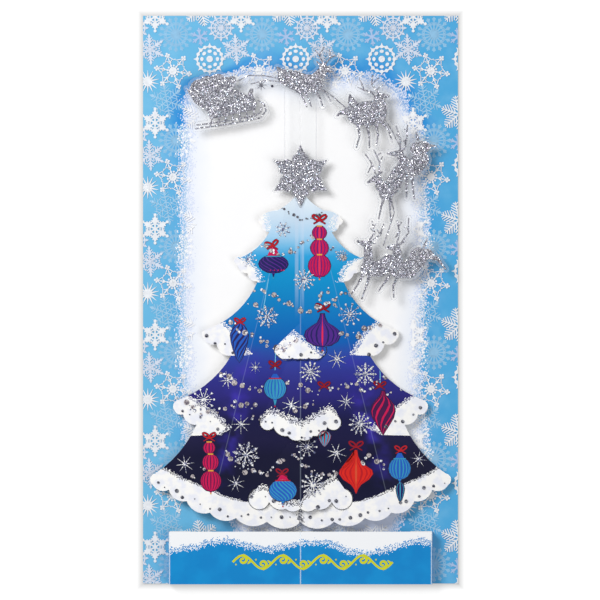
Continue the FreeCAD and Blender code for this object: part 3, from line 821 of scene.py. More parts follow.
def garland_recipe() -> NodeRecipe:
    """Strings dots of uneven size along paths.

    Returns:
        The tree, with spacing, smallest and largest radius, scatter and seed as inputs.
    """
    recipe = NodeRecipe("dots_on_a_path", {
        "Spacing": ("NodeSocketFloat", 0.002), "Smallest": ("NodeSocketFloat", 0.0003),
        "Largest": ("NodeSocketFloat", 0.001), "Scatter": ("NodeSocketFloat", 0.0006),
        "Seed": ("NodeSocketInt", 1)})
    path = recipe.add("GeometryNodeMeshToCurve", {"Mesh": recipe.given["Geometry"]})
    spaced = recipe.add("GeometryNodeResampleCurve", {
        "Curve": path.outputs[0], "Length": recipe.given["Spacing"]}, mode="LENGTH")
    scatter, seed, highest = recipe.given["Scatter"], recipe.given["Seed"], 8e-6
    back = recipe.math("MULTIPLY", scatter, -1)
    shift = recipe.spread(recipe.vector(back, back), recipe.vector(scatter, scatter, highest), seed, True)
    beads = recipe.add("GeometryNodeCurveToPoints", {"Curve": spaced.outputs[0]}, mode="EVALUATED")
    moved = recipe.add("GeometryNodeSetPosition", {"Geometry": beads.outputs[0], "Offset": shift})
    dot = recipe.add("GeometryNodeMeshCircle", {"Vertices": 10, "Radius": 1.0}, fill_type="NGON")
    size = recipe.spread(recipe.given["Smallest"], recipe.given["Largest"], seed)
    dots = recipe.add("GeometryNodeInstanceOnPoints", {
        "Points": moved.outputs[0], "Instance": dot.outputs[0], "Scale": size})
    return recipe.end(dots.outputs[0])


def glitter_recipe() -> NodeRecipe:
    """Scatters tilted flakes over a surface, each with its own tint.

    Returns:
        The tree, with flakes per square metre, flake radius, tilt and seed as inputs.
    """
    recipe = NodeRecipe("loose_glitter", {
        "Density": ("NodeSocketFloat", 5e6), "Flake": ("NodeSocketFloat", 0.0003),
        "Tilt": ("NodeSocketFloat", 0.4), "Seed": ("NodeSocketInt", 3)})
    points = recipe.add("GeometryNodeDistributePointsOnFaces", {
        "Mesh": recipe.given["Geometry"], "Density": recipe.given["Density"], "Seed": recipe.given["Seed"]})
    flake = recipe.add("GeometryNodeMeshCircle", {"Vertices": 6, "Radius": recipe.given["Flake"]},
                       fill_type="NGON")
    tilt, seed, smallest, largest = recipe.given["Tilt"], recipe.given["Seed"], 0.55, 1.25
    back = recipe.math("MULTIPLY", tilt, -1)
    lean = recipe.spread(recipe.vector(back, back), recipe.vector(tilt, tilt, math.tau), seed, True)
    rotation = recipe.add("FunctionNodeEulerToRotation", {"Euler": lean})
    flakes = recipe.add("GeometryNodeInstanceOnPoints", {
        "Points": points.outputs[0], "Instance": flake.outputs[0],
        "Rotation": rotation.outputs[0], "Scale": recipe.spread(smallest, largest)})
    kept = recipe.add("GeometryNodeStoreNamedAttribute", {
        "Geometry": flakes.outputs[0], "Name": "tint", "Value": recipe.spread(0.0, 1.0, seed)},
        data_type="FLOAT", domain="INSTANCE")
    return recipe.end(kept.outputs[0])


@dataclass(frozen=True)
class Fold:
    """Straight fold in the plan, through a point and along a direction, in millimetres."""

    through: Point
    along: Point


class Surface:
    """Top of a CAD node, for laying thin print and foil on it."""

    STEP = 0.12
    STEEPEST = 0.3
    ROUNDS = 3
    FINEST = 0.15

    def __init__(self, node: str, folds: Sequence[Fold] = ()) -> None:
        """Reads the node.

        Args:
            node: Name of the CAD node.
            folds: Folds that a sheet lying on it follows.
        """
        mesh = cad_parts[node].data
        corners = [vertex.co.copy() for vertex in mesh.vertices]
        self.tree = BVHTree.FromPolygons(corners, [face.vertices[:] for face in mesh.polygons])
        self.folds = folds

    def height(self, x: float, y: float) -> float | None:
        """Height of the surface at a place in metres, or None off its edge."""
        hit = self.tree.ray_cast(Vector((x, y, 1.0)), Vector((0, 0, -1)))
        return hit[0].z if hit[0] else None

    def lay(self, shapes: bmesh.types.BMesh, lift: float) -> None:
        """Lays flat shapes on the surface, split along its folds, and drops what hangs over an edge.

        Args:
            shapes: Flat shapes in metres; their own height is kept as extra lift.
            lift: Clearance over the surface in metres.
        """
        bmesh.ops.triangulate(shapes, faces=shapes.faces[:])
        for fold in self.folds:
            bmesh.ops.bisect_plane(
                shapes, geom=shapes.verts[:] + shapes.edges[:] + shapes.faces[:], dist=WELD,
                plane_co=(fold.through[0] * MM, fold.through[1] * MM, 0),
                plane_no=(fold.along[1], -fold.along[0], 0))
        for _ in range(self.ROUNDS):
            _, torn = self.hanging(shapes)
            long_edges = {edge for face in torn for edge in face.edges
                          if edge.calc_length() > self.FINEST * MM}
            bmesh.ops.subdivide_edges(shapes, edges=list(long_edges), cuts=1)
            bmesh.ops.triangulate(shapes, faces=[face for face in shapes.faces if len(face.verts) > 3])
        ground, torn = self.hanging(shapes)
        for vertex, level in ground.items():
            vertex.co.z += level + lift
        bmesh.ops.delete(shapes, geom=torn, context="FACES")
        loose = [vertex for vertex in shapes.verts if not vertex.link_faces]
        bmesh.ops.delete(shapes, geom=loose, context="VERTS")

    def hanging(self, shapes: bmesh.types.BMesh) -> tuple[dict, list]:
        """Finds how high the sheet is under each corner, and which faces hang over an edge.

        Args:
            shapes: Flat shapes in metres.

        Returns:
            Height under each corner that is over the sheet, and the faces that hang over an edge.
        """
        ground = {}
        for vertex in shapes.verts:
            found = self.height(vertex.co.x, vertex.co.y)
            if found is not None:
                ground[vertex] = found
        torn = []
        for face in shapes.faces:
            levels = [ground[vertex] for vertex in face.verts if vertex in ground]
            reach = max(edge.calc_length() for edge in face.edges)
            steep = max(levels, default=0) - min(levels, default=0) > self.STEP * MM + self.STEEPEST * reach
            if steep or len(levels) < len(face.verts):
                torn.append(face)
        return ground, torn


class PrintSheet:
    """Flat coloured shapes in the plan, gathered before they are laid on a surface."""

    LAYER = 0.02
    STEPS = 10

    def __init__(self) -> None:
        """Starts an empty sheet."""
        self.shapes = bmesh.new()
        self.inks: list[Ink | Foil] = []

    def polygon(self, points: Sequence[Point], ink: Ink | Foil, layer: int = 0) -> None:
        """Adds a filled outline.

        Args:
            points: Outline in millimetres.
            ink: Ink or foil that fills it.
            layer: How many layers of print it lies on.
        """
        if ink not in self.inks:
            self.inks.append(ink)
        area = sum(a[0] * b[1] - b[0] * a[1] for a, b in zip(points, [*points[1:], points[0]]))
        if abs(area) < 1e-4:
            return
        ordered = points if area > 0 else list(reversed(points))
        step = len(self.shapes.faces) % self.STEPS / self.STEPS
        rise = (layer + step) * self.LAYER * MM
        corners = [self.shapes.verts.new((x * MM, y * MM, rise)) for x, y in ordered]
        face = self.shapes.faces.new(corners)
        face.material_index = self.inks.index(ink)

    def ellipse(self, middle: Point, across: float, up: float, ink: Ink | Foil, layer: int = 0,
                turn: float = 0.0, sides: int = 20) -> None:
        """Adds a filled ellipse.

        Args:
            middle: Its middle.
            across: Half its width.
            up: Half its height.
            ink: Ink or foil.
            layer: How many layers of print it lies on.
            turn: Turn in degrees.
            sides: Number of sides.
        """
        cosine, sine = math.cos(math.radians(turn)), math.sin(math.radians(turn))
        points = []
        for index in range(sides):
            angle = math.tau * index / sides
            x, y = across * math.cos(angle), up * math.sin(angle)
            points.append((middle[0] + x * cosine - y * sine, middle[1] + x * sine + y * cosine))
        self.polygon(points, ink, layer)

    def line(self, points: Sequence[Point], width: float, ink: Ink | Foil, layer: int = 0,
             end_width: float | None = None) -> None:
        """Adds a brush line.

        Args:
            points: Its course.
            width: Width at the start.
            ink: Ink or foil.
            layer: How many layers of print it lies on.
            end_width: Width at the end, if it tapers.
        """
        last = width if end_width is None else end_width
        left, right = [], []
        for index, (x, y) in enumerate(points):
            before = points[max(index - 1, 0)]
            after = points[min(index + 1, len(points) - 1)]
            along = Vector((after[0] - before[0], after[1] - before[1])).normalized()
            half = (width + (last - width) * index / (len(points) - 1)) / 2
            left.append((x - along.y * half, y + along.x * half))
            right.append((x + along.y * half, y - along.x * half))
        for index in range(len(points) - 1):
            self.polygon([left[index], right[index], right[index + 1], left[index + 1]], ink, layer)

    def piece(self, name: str, slot: str, surface: Surface, lift: float = 0.02) -> bpy.types.Object:
        """Lays the sheet on a surface as one piece.

        Args:
            name: Name of the piece.
            slot: Material slot of the record; not used.
            surface: What it lies on.
            lift: Clearance over it in millimetres.

        Returns:
            The piece.
        """
        surface.lay(self.shapes, lift * MM)
        mesh = mesh_of(name, self.shapes)
        for ink in self.inks:
            mesh.materials.append(finish_of(ink))
        return add_piece(name, mesh)


def mesh_of(name: str, shapes: bmesh.types.BMesh) -> bpy.types.Mesh:
    """Turns shapes into a mesh and frees them.

    Args:
        name: Name of the mesh.
        shapes: Shapes in metres.

    Returns:
        The mesh.
    """
    mesh = bpy.data.meshes.new(name)
    shapes.to_mesh(mesh)
    shapes.free()
    return mesh


FINISHES: dict[object, bpy.types.Material] = {}


def finish_of(finish: object) -> bpy.types.Material:
    """Material of a finish, built the first time it is asked for."""
    if finish not in FINISHES:
        FINISHES[finish] = finish.make()
    return FINISHES[finish]


def add_piece(name: str, mesh: bpy.types.Mesh) -> bpy.types.Object:
    """Puts a mesh in the scene as a piece that moves with the card.

    Args:
        name: Name of the piece.
        mesh: Its mesh, in place.

    Returns:
        The piece.
    """
    piece = bpy.data.objects.new(name, mesh)
    bpy.context.scene.collection.objects.link(piece)
    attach(piece, "root")
    log.info("%s: %d faces", name, len(mesh.polygons))
    return piece


def dress(node: str, finish: object) -> None:
    """Gives a CAD node its finish."""
    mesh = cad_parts[node].data
    mesh.materials.clear()
    mesh.materials.append(finish_of(finish))
    log.info("%s: dressed with %s", node, finish.name)


class Tip(Enum):
    """How an arm of a snowflake ends."""

    PLAIN = "plain"
    BALL = "ball"
    TREFOIL = "trefoil"
    LEAF = "leaf"


@dataclass(frozen=True)
class Flake:
    """Snowflake drawn as one arm that is repeated round its middle; lengths are shares of its radius."""

    place: Point
    radius: float
    ink: Ink | Foil
    arms: int = 6
    stroke: float = 0.1
    branches: tuple[tuple[float, float, float], ...] = ()
    rings: tuple[tuple[float, float], ...] = ()
    beads: tuple[tuple[float, float, int], ...] = ()
    leaf: float = 0.0
    tip: Tip = Tip.PLAIN
    turn: float = 0.0
    start: float = 0.0
    taper: float = 0.6
    # Overlapping flakes lie on slightly different levels, worked out from their places
    level_mix: Point = (7.3, 3.1)
    level_reach: float = 0.014

    def arm(self) -> bpy.types.Mesh:
        """Draws one arm, pointing up, with its share of the rings.

        Returns:
            The arm's mesh, in metres, round the origin.
        """
        sheet = PrintSheet()
        size = self.radius
        width = self.stroke * size
        foot = size * self.start
        sheet.line([(0, foot), (0, (foot + size) / 2), (0, size)], width, self.ink, 0, width * self.taper)
        for at, length, angle in self.branches:
            for side in (-1, 1):
                dx = side * math.sin(math.radians(angle)) * length * size
                dy = math.cos(math.radians(angle)) * length * size
                sheet.line([(0, at * size), (dx, at * size + dy)], width * 0.85, self.ink, 0, width * 0.55)
        if self.leaf:
            wide = self.leaf * size
            sheet.polygon([(0, size * 0.3), (wide, size * 0.55), (0, size * 0.95), (-wide, size * 0.55)],
                          self.ink)
        half = math.pi / self.arms
        for radius, thick in self.rings:
            arc = [half * (step / 3) for step in range(-3, 4)]
            inner = [(math.sin(a) * (radius - thick / 2) * size, math.cos(a) * (radius - thick / 2) * size)
                     for a in arc]
            outer = [(math.sin(a) * (radius + thick / 2) * size, math.cos(a) * (radius + thick / 2) * size)
                     for a in arc]
            for index in range(len(arc) - 1):
                sheet.polygon([inner[index], inner[index + 1], outer[index + 1], outer[index]], self.ink)
        for radius, bead, count in self.beads:
            for angle in (0.0, half)[:count]:
                middle = (math.sin(angle) * radius * size, math.cos(angle) * radius * size)
                sheet.ellipse(middle, bead * size, bead * size, self.ink, sides=8)
        self.draw_tip(sheet, size)
        return mesh_of("flake_arm", sheet.shapes)

    def draw_tip(self, sheet: PrintSheet, size: float) -> None:
        """Draws what the arm ends in.

        Args:
            sheet: Sheet to draw on.
            size: The flake's radius.
        """
        if self.tip is Tip.BALL:
            sheet.ellipse((0, size), size * 0.11, size * 0.11, self.ink, sides=10)
        if self.tip is Tip.TREFOIL:
            for dx, dy in ((0, 0.1), (-0.09, 0), (0.09, 0)):
                sheet.ellipse((dx * size, size * (0.92 + dy)), size * 0.065, size * 0.065, self.ink, sides=8)
        if self.tip is Tip.LEAF:
            sheet.polygon([(0, size * 0.7), (size * 0.1, size * 0.86), (0, size * 1.06),
                           (-size * 0.1, size * 0.86)], self.ink)

    def mesh(self, recipe: NodeRecipe) -> bpy.types.Mesh:
        """Repeats the arm and puts the flake in its place.

        Args:
            recipe: Tree that repeats an arm round the middle.

        Returns:
            The whole flake.
        """
        made = recipe.bake(self.arm(), finish_of(self.ink), Arms=self.arms)
        mixed = abs(self.place[0] * self.level_mix[0] + self.place[1] * self.level_mix[1])
        level = mixed % 1 * self.level_reach
        place = Matrix.Translation((self.place[0] * MM, self.place[1] * MM, level * MM))
        made.transform(place @ Matrix.Rotation(math.radians(self.turn), 4, "Z"))
        return made


def joined(meshes: Sequence[bpy.types.Mesh]) -> bmesh.types.BMesh:
    """Gathers meshes in one."""
    shapes = bmesh.new()
    for mesh in meshes:
        shapes.from_mesh(mesh)
        bpy.data.meshes.remove(mesh)
    return shapes


def laid_piece(name: str, shapes: bmesh.types.BMesh, finish: object, surface: Surface,
               lift: float) -> bpy.types.Object:
    """Lays shapes of one finish on a surface as one piece.

    Args:
        name: Name of the piece.
        shapes: Flat shapes in metres.
        finish: Their finish.
        surface: What they lie on.
        lift: Clearance over it in millimetres.

    Returns:
        The piece.
    """
    for face in shapes.faces:
        face.material_index = 0
    surface.lay(shapes, lift * MM)
    mesh = mesh_of(name, shapes)
    mesh.materials.append(finish_of(finish))
    return add_piece(name, mesh)


WHITE_FLAKE = Ink("flake_white", (244, 248, 252), misty=True)
LILAC_FLAKE = Ink("flake_lilac", (176, 204, 240), misty=True)
FAINT_FLAKE = Ink("flake_faint", (150, 202, 236), misty=True)
PALE_FLAKE = Ink("flake_pale", (222, 232, 247), misty=True)
THIN_FLAKE = Ink("flake_thin", (170, 214, 243), misty=True)
DARK_STAR = Ink("star_dark", (74, 74, 92))


@dataclass
class BaseCard:
    """Printed base card: sky print, repeated snowflakes and the misty field."""

    width: float = 116.5
    height: float = 210.0
    repeat_across: float = 31.82
    repeat_up: float = 39.22
    columns: int = 5
    rows: int = 7
    steps_right: int = 1
    steps_down: int = 2
    hidden_from: float = 3.0
    flakes: tuple[Flake, ...] = (
        Flake((-53.8, 104.6), 5.2, WHITE_FLAKE, stroke=0.13, tip=Tip.BALL, leaf=0.24,
              branches=((0.4, 0.36, 55), (0.62, 0.24, 50)), rings=((0.36, 0.1),), beads=((0.52, 0.07, 2),)),
        Flake((-46.1, 98.1), 6.5, FAINT_FLAKE, arms=16, stroke=0.1, beads=((0.92, 0.06, 1),),
              branches=((0.5, 0.22, 30), (0.75, 0.2, 30)), rings=((0.24, 0.09), (0.56, 0.06))),
        Flake((-37.2, 97.2), 3.4, LILAC_FLAKE, stroke=0.22, leaf=0.15, branches=((0.6, 0.3, 55),), turn=8.0),
        Flake((-29.4, 100.5), 4.9, PALE_FLAKE, arms=12, stroke=0.08, tip=Tip.LEAF, leaf=0.05,
              branches=((0.42, 0.2, 40), (0.62, 0.24, 40)), rings=((0.16, 0.12), (0.42, 0.08), (0.74, 0.09))),
        Flake((-36.8, 107.9), 6.9, WHITE_FLAKE, stroke=0.085, turn=12.0,
              branches=((0.2, 0.4, 50), (0.36, 0.42, 50), (0.52, 0.38, 50), (0.68, 0.3, 50),
                        (0.84, 0.18, 50))),
        Flake((-55.7, 92.6), 5.6, PALE_FLAKE, stroke=0.1, tip=Tip.LEAF, leaf=0.12, turn=4.0,
              branches=((0.24, 0.3, 50), (0.42, 0.34, 50), (0.6, 0.26, 50)), rings=((0.2, 0.08),),
              beads=((0.62, 0.06, 2),)),
        Flake((-33.6, 89.0), 6.0, WHITE_FLAKE, arms=8, stroke=0.14, start=0.8, taper=0.15,
              branches=((0.42, 0.13, 65), (0.54, 0.13, 115)), rings=((0.1, 0.2), (0.77, 0.09)),
              beads=((0.77, 0.115, 2), (0.48, 0.1, 1))),
        Flake((-47.2, 84.6), 6.6, WHITE_FLAKE, stroke=0.06, tip=Tip.TREFOIL, turn=20.0,
              branches=((0.52, 0.2, 60), (0.88, 0.42, 140)), rings=((0.12, 0.2),),
              beads=((0.52, 0.085, 1), (0.3, 0.06, 2), (0.66, 0.04, 2))),
        Flake((-56.5, 80.7), 4.2, WHITE_FLAKE, arms=14, stroke=0.22, taper=0.1, rings=((0.25, 0.3),)),
        Flake((-49.5, 73.5), 6.5, THIN_FLAKE, stroke=0.055, turn=10.0, tip=Tip.LEAF,
              branches=((0.32, 0.36, 55), (0.5, 0.34, 55), (0.68, 0.3, 55)),
              rings=((0.26, 0.05), (0.6, 0.04))),
    )
    # Inks from the lowest to the highest, each with its clearance over the card
    inks: tuple[tuple[Ink, float], ...] = (
        (FAINT_FLAKE, 0.01), (THIN_FLAKE, 0.06), (LILAC_FLAKE, 0.11), (PALE_FLAKE, 0.16), (WHITE_FLAKE, 0.21))
    star: Point = (-14.6, 79.4)
    dot: Point = (-10.5, 79.0)
    star_lift: float = 0.26
    edge_inset: float = 0.02
    surface: Surface = field(default_factory=lambda: Surface("base_card"))

    def build(self) -> None:
        """Dresses the card and repeats its snowflakes over it."""
        dress("base_card", SkyPrint())
        ring, tile = ring_recipe(), tile_recipe()
        for ink, layer in self.inks:
            drawn = joined([flake.mesh(ring) for flake in self.flakes if flake.ink is ink])
            motif = mesh_of("motif", drawn)
            inward = (self.repeat_across * self.steps_right * MM, -self.repeat_up * self.steps_down * MM, 0)
            motif.transform(Matrix.Translation(inward))
            shapes = joined([tile.bake(motif, finish_of(ink), Across=self.repeat_across * MM,
                                       Up=self.repeat_up * MM, Columns=self.columns, Rows=self.rows)])
            self.trim(shapes)
            laid_piece(ink.name + "s", shapes, ink, self.surface, layer)

        star = Flake(self.star, 2.0, DARK_STAR, arms=8, stroke=0.13, taper=0.3, beads=((0.2, 0.12, 1),))
        dot = Flake(self.dot, 0.45, DARK_STAR, arms=8, stroke=0.9, taper=0.9)
        laid_piece("printed_star", joined([star.mesh(ring), dot.mesh(ring)]), DARK_STAR,
                   self.surface, self.star_lift)

    def trim(self, shapes: bmesh.types.BMesh) -> None:
        """Cuts the print off at the card's edges and where the mist hides it.

        Args:
            shapes: Flat shapes in metres.
        """
        hidden = []
        for face in shapes.faces:
            middle = face.calc_center_median() / MM
            if Mist.inside(middle.x, middle.y) > self.hidden_from:
                hidden.append(face)
        bmesh.ops.delete(shapes, geom=hidden, context="FACES")
        across = (self.width / 2 - self.edge_inset) * MM
        up = (self.height / 2 - self.edge_inset) * MM
        for x, y in ((1, 0), (-1, 0), (0, 1), (0, -1)):
            bmesh.ops.bisect_plane(
                shapes, geom=shapes.verts[:] + shapes.edges[:] + shapes.faces[:], dist=WELD,
                plane_co=(x * across, y * up, 0), plane_no=(x, y, 0), clear_outer=True)


VIOLET = Ink("bauble_violet", (84, 40, 142))
NAVY = Ink("bauble_navy", (34, 30, 96))
MAGENTA = Ink("bauble_magenta", (212, 18, 84))
PURPLE = Ink("bauble_purple", (118, 26, 116))
PLUM = Ink("bauble_plum", (72, 18, 76))
ROSE = Ink("bauble_rose", (236, 44, 88))
SCARLET = Ink("bauble_scarlet", (228, 40, 30))
RED = Ink("bauble_red", (196, 24, 34))
DARK_RED = Ink("bow_dark_red", (156, 18, 36))
GOLD = Ink("bauble_gold", (232, 170, 60))
BLUE = Ink("bauble_blue", (36, 96, 200))
TEAL = Ink("bauble_teal", (54, 160, 196))
ORANGE = Ink("bauble_orange", (226, 84, 52))
STRING = Ink("bauble_string", (120, 200, 236))
OUTLINE = Ink("bauble_outline", (40, 22, 60))
# Foils: bright tone, darker tone of their painted reflections, and roughness
SILVER = Foil("silver_foil", (255, 255, 255), (104, 110, 148), 0.42)
PEWTER = Foil("pewter_foil", (214, 206, 206), (112, 104, 118), 0.36)
STEEL = Foil("steel_foil", (148, 150, 160), (58, 58, 76), 0.36)


class Form(Enum):
    """Half outline of a printed bauble, from foot to top, as shares of its half width and half height."""

    BALL = ((0.0, -1.0), (0.38, -0.92), (0.71, -0.71), (0.92, -0.38), (1.0, 0.0), (0.92, 0.38), (0.71, 0.71),
            (0.38, 0.92), (0.0, 1.0))
    ONION = ((0.0, -1.0), (0.45, -0.92), (0.84, -0.62), (1.0, -0.15), (0.92, 0.25), (0.6, 0.62), (0.28, 0.9),
             (0.14, 1.25), (0.1, 1.6))
    SPINDLE = ((0.0, -1.0), (0.3, -0.8), (0.62, -0.45), (0.9, 0.0), (1.0, 0.35), (0.75, 0.7), (0.3, 0.92),
               (0.1, 1.0))
    LANTERN = ((0.03, -1.0), (0.12, -0.8), (0.3, -0.6), (0.76, -0.36), (1.0, -0.1), (0.95, 0.08), (0.6, 0.26),
               (0.27, 0.46), (0.12, 0.72), (0.07, 1.0))
    TEAR = ((0.0, -1.0), (0.2, -0.78), (0.5, -0.5), (0.86, -0.14), (1.0, 0.2), (0.9, 0.5), (0.56, 0.76),
            (0.24, 0.94), (0.1, 1.2))


@dataclass(frozen=True)
class Bauble:
    """Printed bauble with stripes that follow its round form."""

    place: Point
    half_width: float
    half_height: float
    form: Form
    body: Ink
    stripe: Ink
    stripes: int = 5
    twist: float = 0.0
    trim: Ink = GOLD
    finial: float = 0.0
    cap: float = 0.0
    stripe_share: float = 0.36
    cap_ink: Ink = MAGENTA
    centre: Ink | None = None
    dotted: Ink | None = None
    banded: bool = False

    def at(self, share: float, height: float, longitude: float) -> Point:
        """Point on the bauble's face.

        Args:
            share: Half width there, as a share of the largest.
            height: Height, as a share of the half height.
            longitude: Degrees round from the middle line.

        Returns:
            The point in the plan.
        """
        around = max(-90.0, min(90.0, longitude + self.twist * height))
        return (self.place[0] + self.half_width * share * math.sin(math.radians(around)),
                self.place[1] + self.half_height * height)

    def outline(self, grow: float) -> list[Point]:
        """Outline of the bauble, grown by a margin in millimetres."""
        x, y = self.place
        half = []
        for share, height in self.form.value:
            out = grow if share else 0
            beyond = (grow if height > 0 else -grow) if abs(height) > 0.9 else 0
            half.append((share * self.half_width + out, height * self.half_height + beyond))
        left = [(x - across, y + up) for across, up in reversed(half) if across > 0]
        return [(x + across, y + up) for across, up in half] + left

    def draw(self, sheet: PrintSheet) -> None:
        """Draws outline, body, stripes, cap and finial.

        Args:
            sheet: Sheet to draw on.
        """
        sheet.polygon(self.outline(0.25), OUTLINE, 1)
        sheet.polygon(self.outline(0.0), self.body, 2)
        turn = abs(self.twist)
        pitch = 180 / self.stripes
        width = pitch * self.stripe_share
        for index in range(int((180 + 2 * turn) / pitch) + 1):
            start = -90 - turn + (pitch - width) / 2 + index * pitch
            middle = self.centre is not None and 2 * index + 1 == self.stripes
            near = [self.at(share, height, start) for share, height in self.form.value]
            far = [self.at(share, height, start + width) for share, height in self.form.value]
            for a, b, c, d in zip(near, far, far[1:], near[1:]):
                sheet.polygon([a, b, c, d], self.centre if middle else self.stripe, 3)
        self.draw_fittings(sheet)

    def draw_fittings(self, sheet: PrintSheet) -> None:
        """Draws cap, bands, beads and finial.

        Args:
            sheet: Sheet to draw on.
        """
        x, top = self.place[0], self.place[1] + self.half_height * self.form.value[-1][1]
        foot = self.place[1] - self.half_height
        if self.cap:
            wide = self.half_width * 0.42
            sheet.polygon([(x - wide, top - 0.4), (x + wide, top - 0.4), (x + wide * 0.4, top + self.cap),
                           (x - wide * 0.4, top + self.cap)], self.cap_ink, 3)
            sheet.line([(x - wide * 1.3, top - 0.5), (x + wide * 1.3, top - 0.5)], 0.4, self.trim, 4)
        if self.banded:
            sheet.line([(x - 1.0, top), (x + 1.0, top)], 0.5, GOLD, 4)
        if self.dotted is not None:
            share, height = self.form.value[2]
            for longitude in range(-66, 67, 22):
                sheet.ellipse(self.at(share, height, longitude), 0.24, 0.24, self.dotted, 4, sides=8)
        if self.finial:
            wide = max(0.8, self.finial * 0.32)
            sheet.polygon([(x - wide, foot + 0.6), (x, foot - self.finial), (x + wide, foot + 0.6)],
                          self.body, 3)
            sheet.line([(x - wide * 0.7, foot - 0.1), (x + wide * 0.7, foot - 0.1)], 0.3, self.stripe, 4)
            sheet.ellipse((x, foot - self.finial), 0.3, 0.3, self.trim, 4, sides=8)


@dataclass(frozen=True)
class Bow:
    """Printed ribbon bow: two loops, a knot and two tails."""

    place: Point
    size: float
    ink: Ink
    turn: float = 0.0

    def draw(self, sheet: PrintSheet) -> None:
        """Draws the bow.

        Args:
            sheet: Sheet to draw on.
        """
        x, y = self.place
        for side in (-1, 1):
            tilt = math.radians(self.turn + side * 34)
            cosine, sine = math.cos(tilt), math.sin(tilt)
            reach = side * self.size * 0.58
            loop = []
            for step in range(13):
                angle = math.tau * step / 12
                along = reach + self.size * 0.5 * math.cos(angle)
                across = self.size * 0.24 * math.sin(angle)
                loop.append((x + along * cosine - across * sine, y + along * sine + across * cosine))
            tail = [self.place, (x + side * self.size * 0.45, y - self.size * 0.3),
                    (x + side * self.size * 0.8, y - self.size * 0.5)]
            sheet.line(loop, self.size * 0.32, OUTLINE, 4)
            sheet.line(loop, self.size * 0.2, self.ink, 5)
            sheet.line(tail, self.size * 0.3, OUTLINE, 4, self.size * 0.22)
            sheet.line(tail, self.size * 0.18, self.ink, 5, self.size * 0.1)
        sheet.ellipse(self.place, self.size * 0.22, self.size * 0.22, self.ink, 6, sides=10)


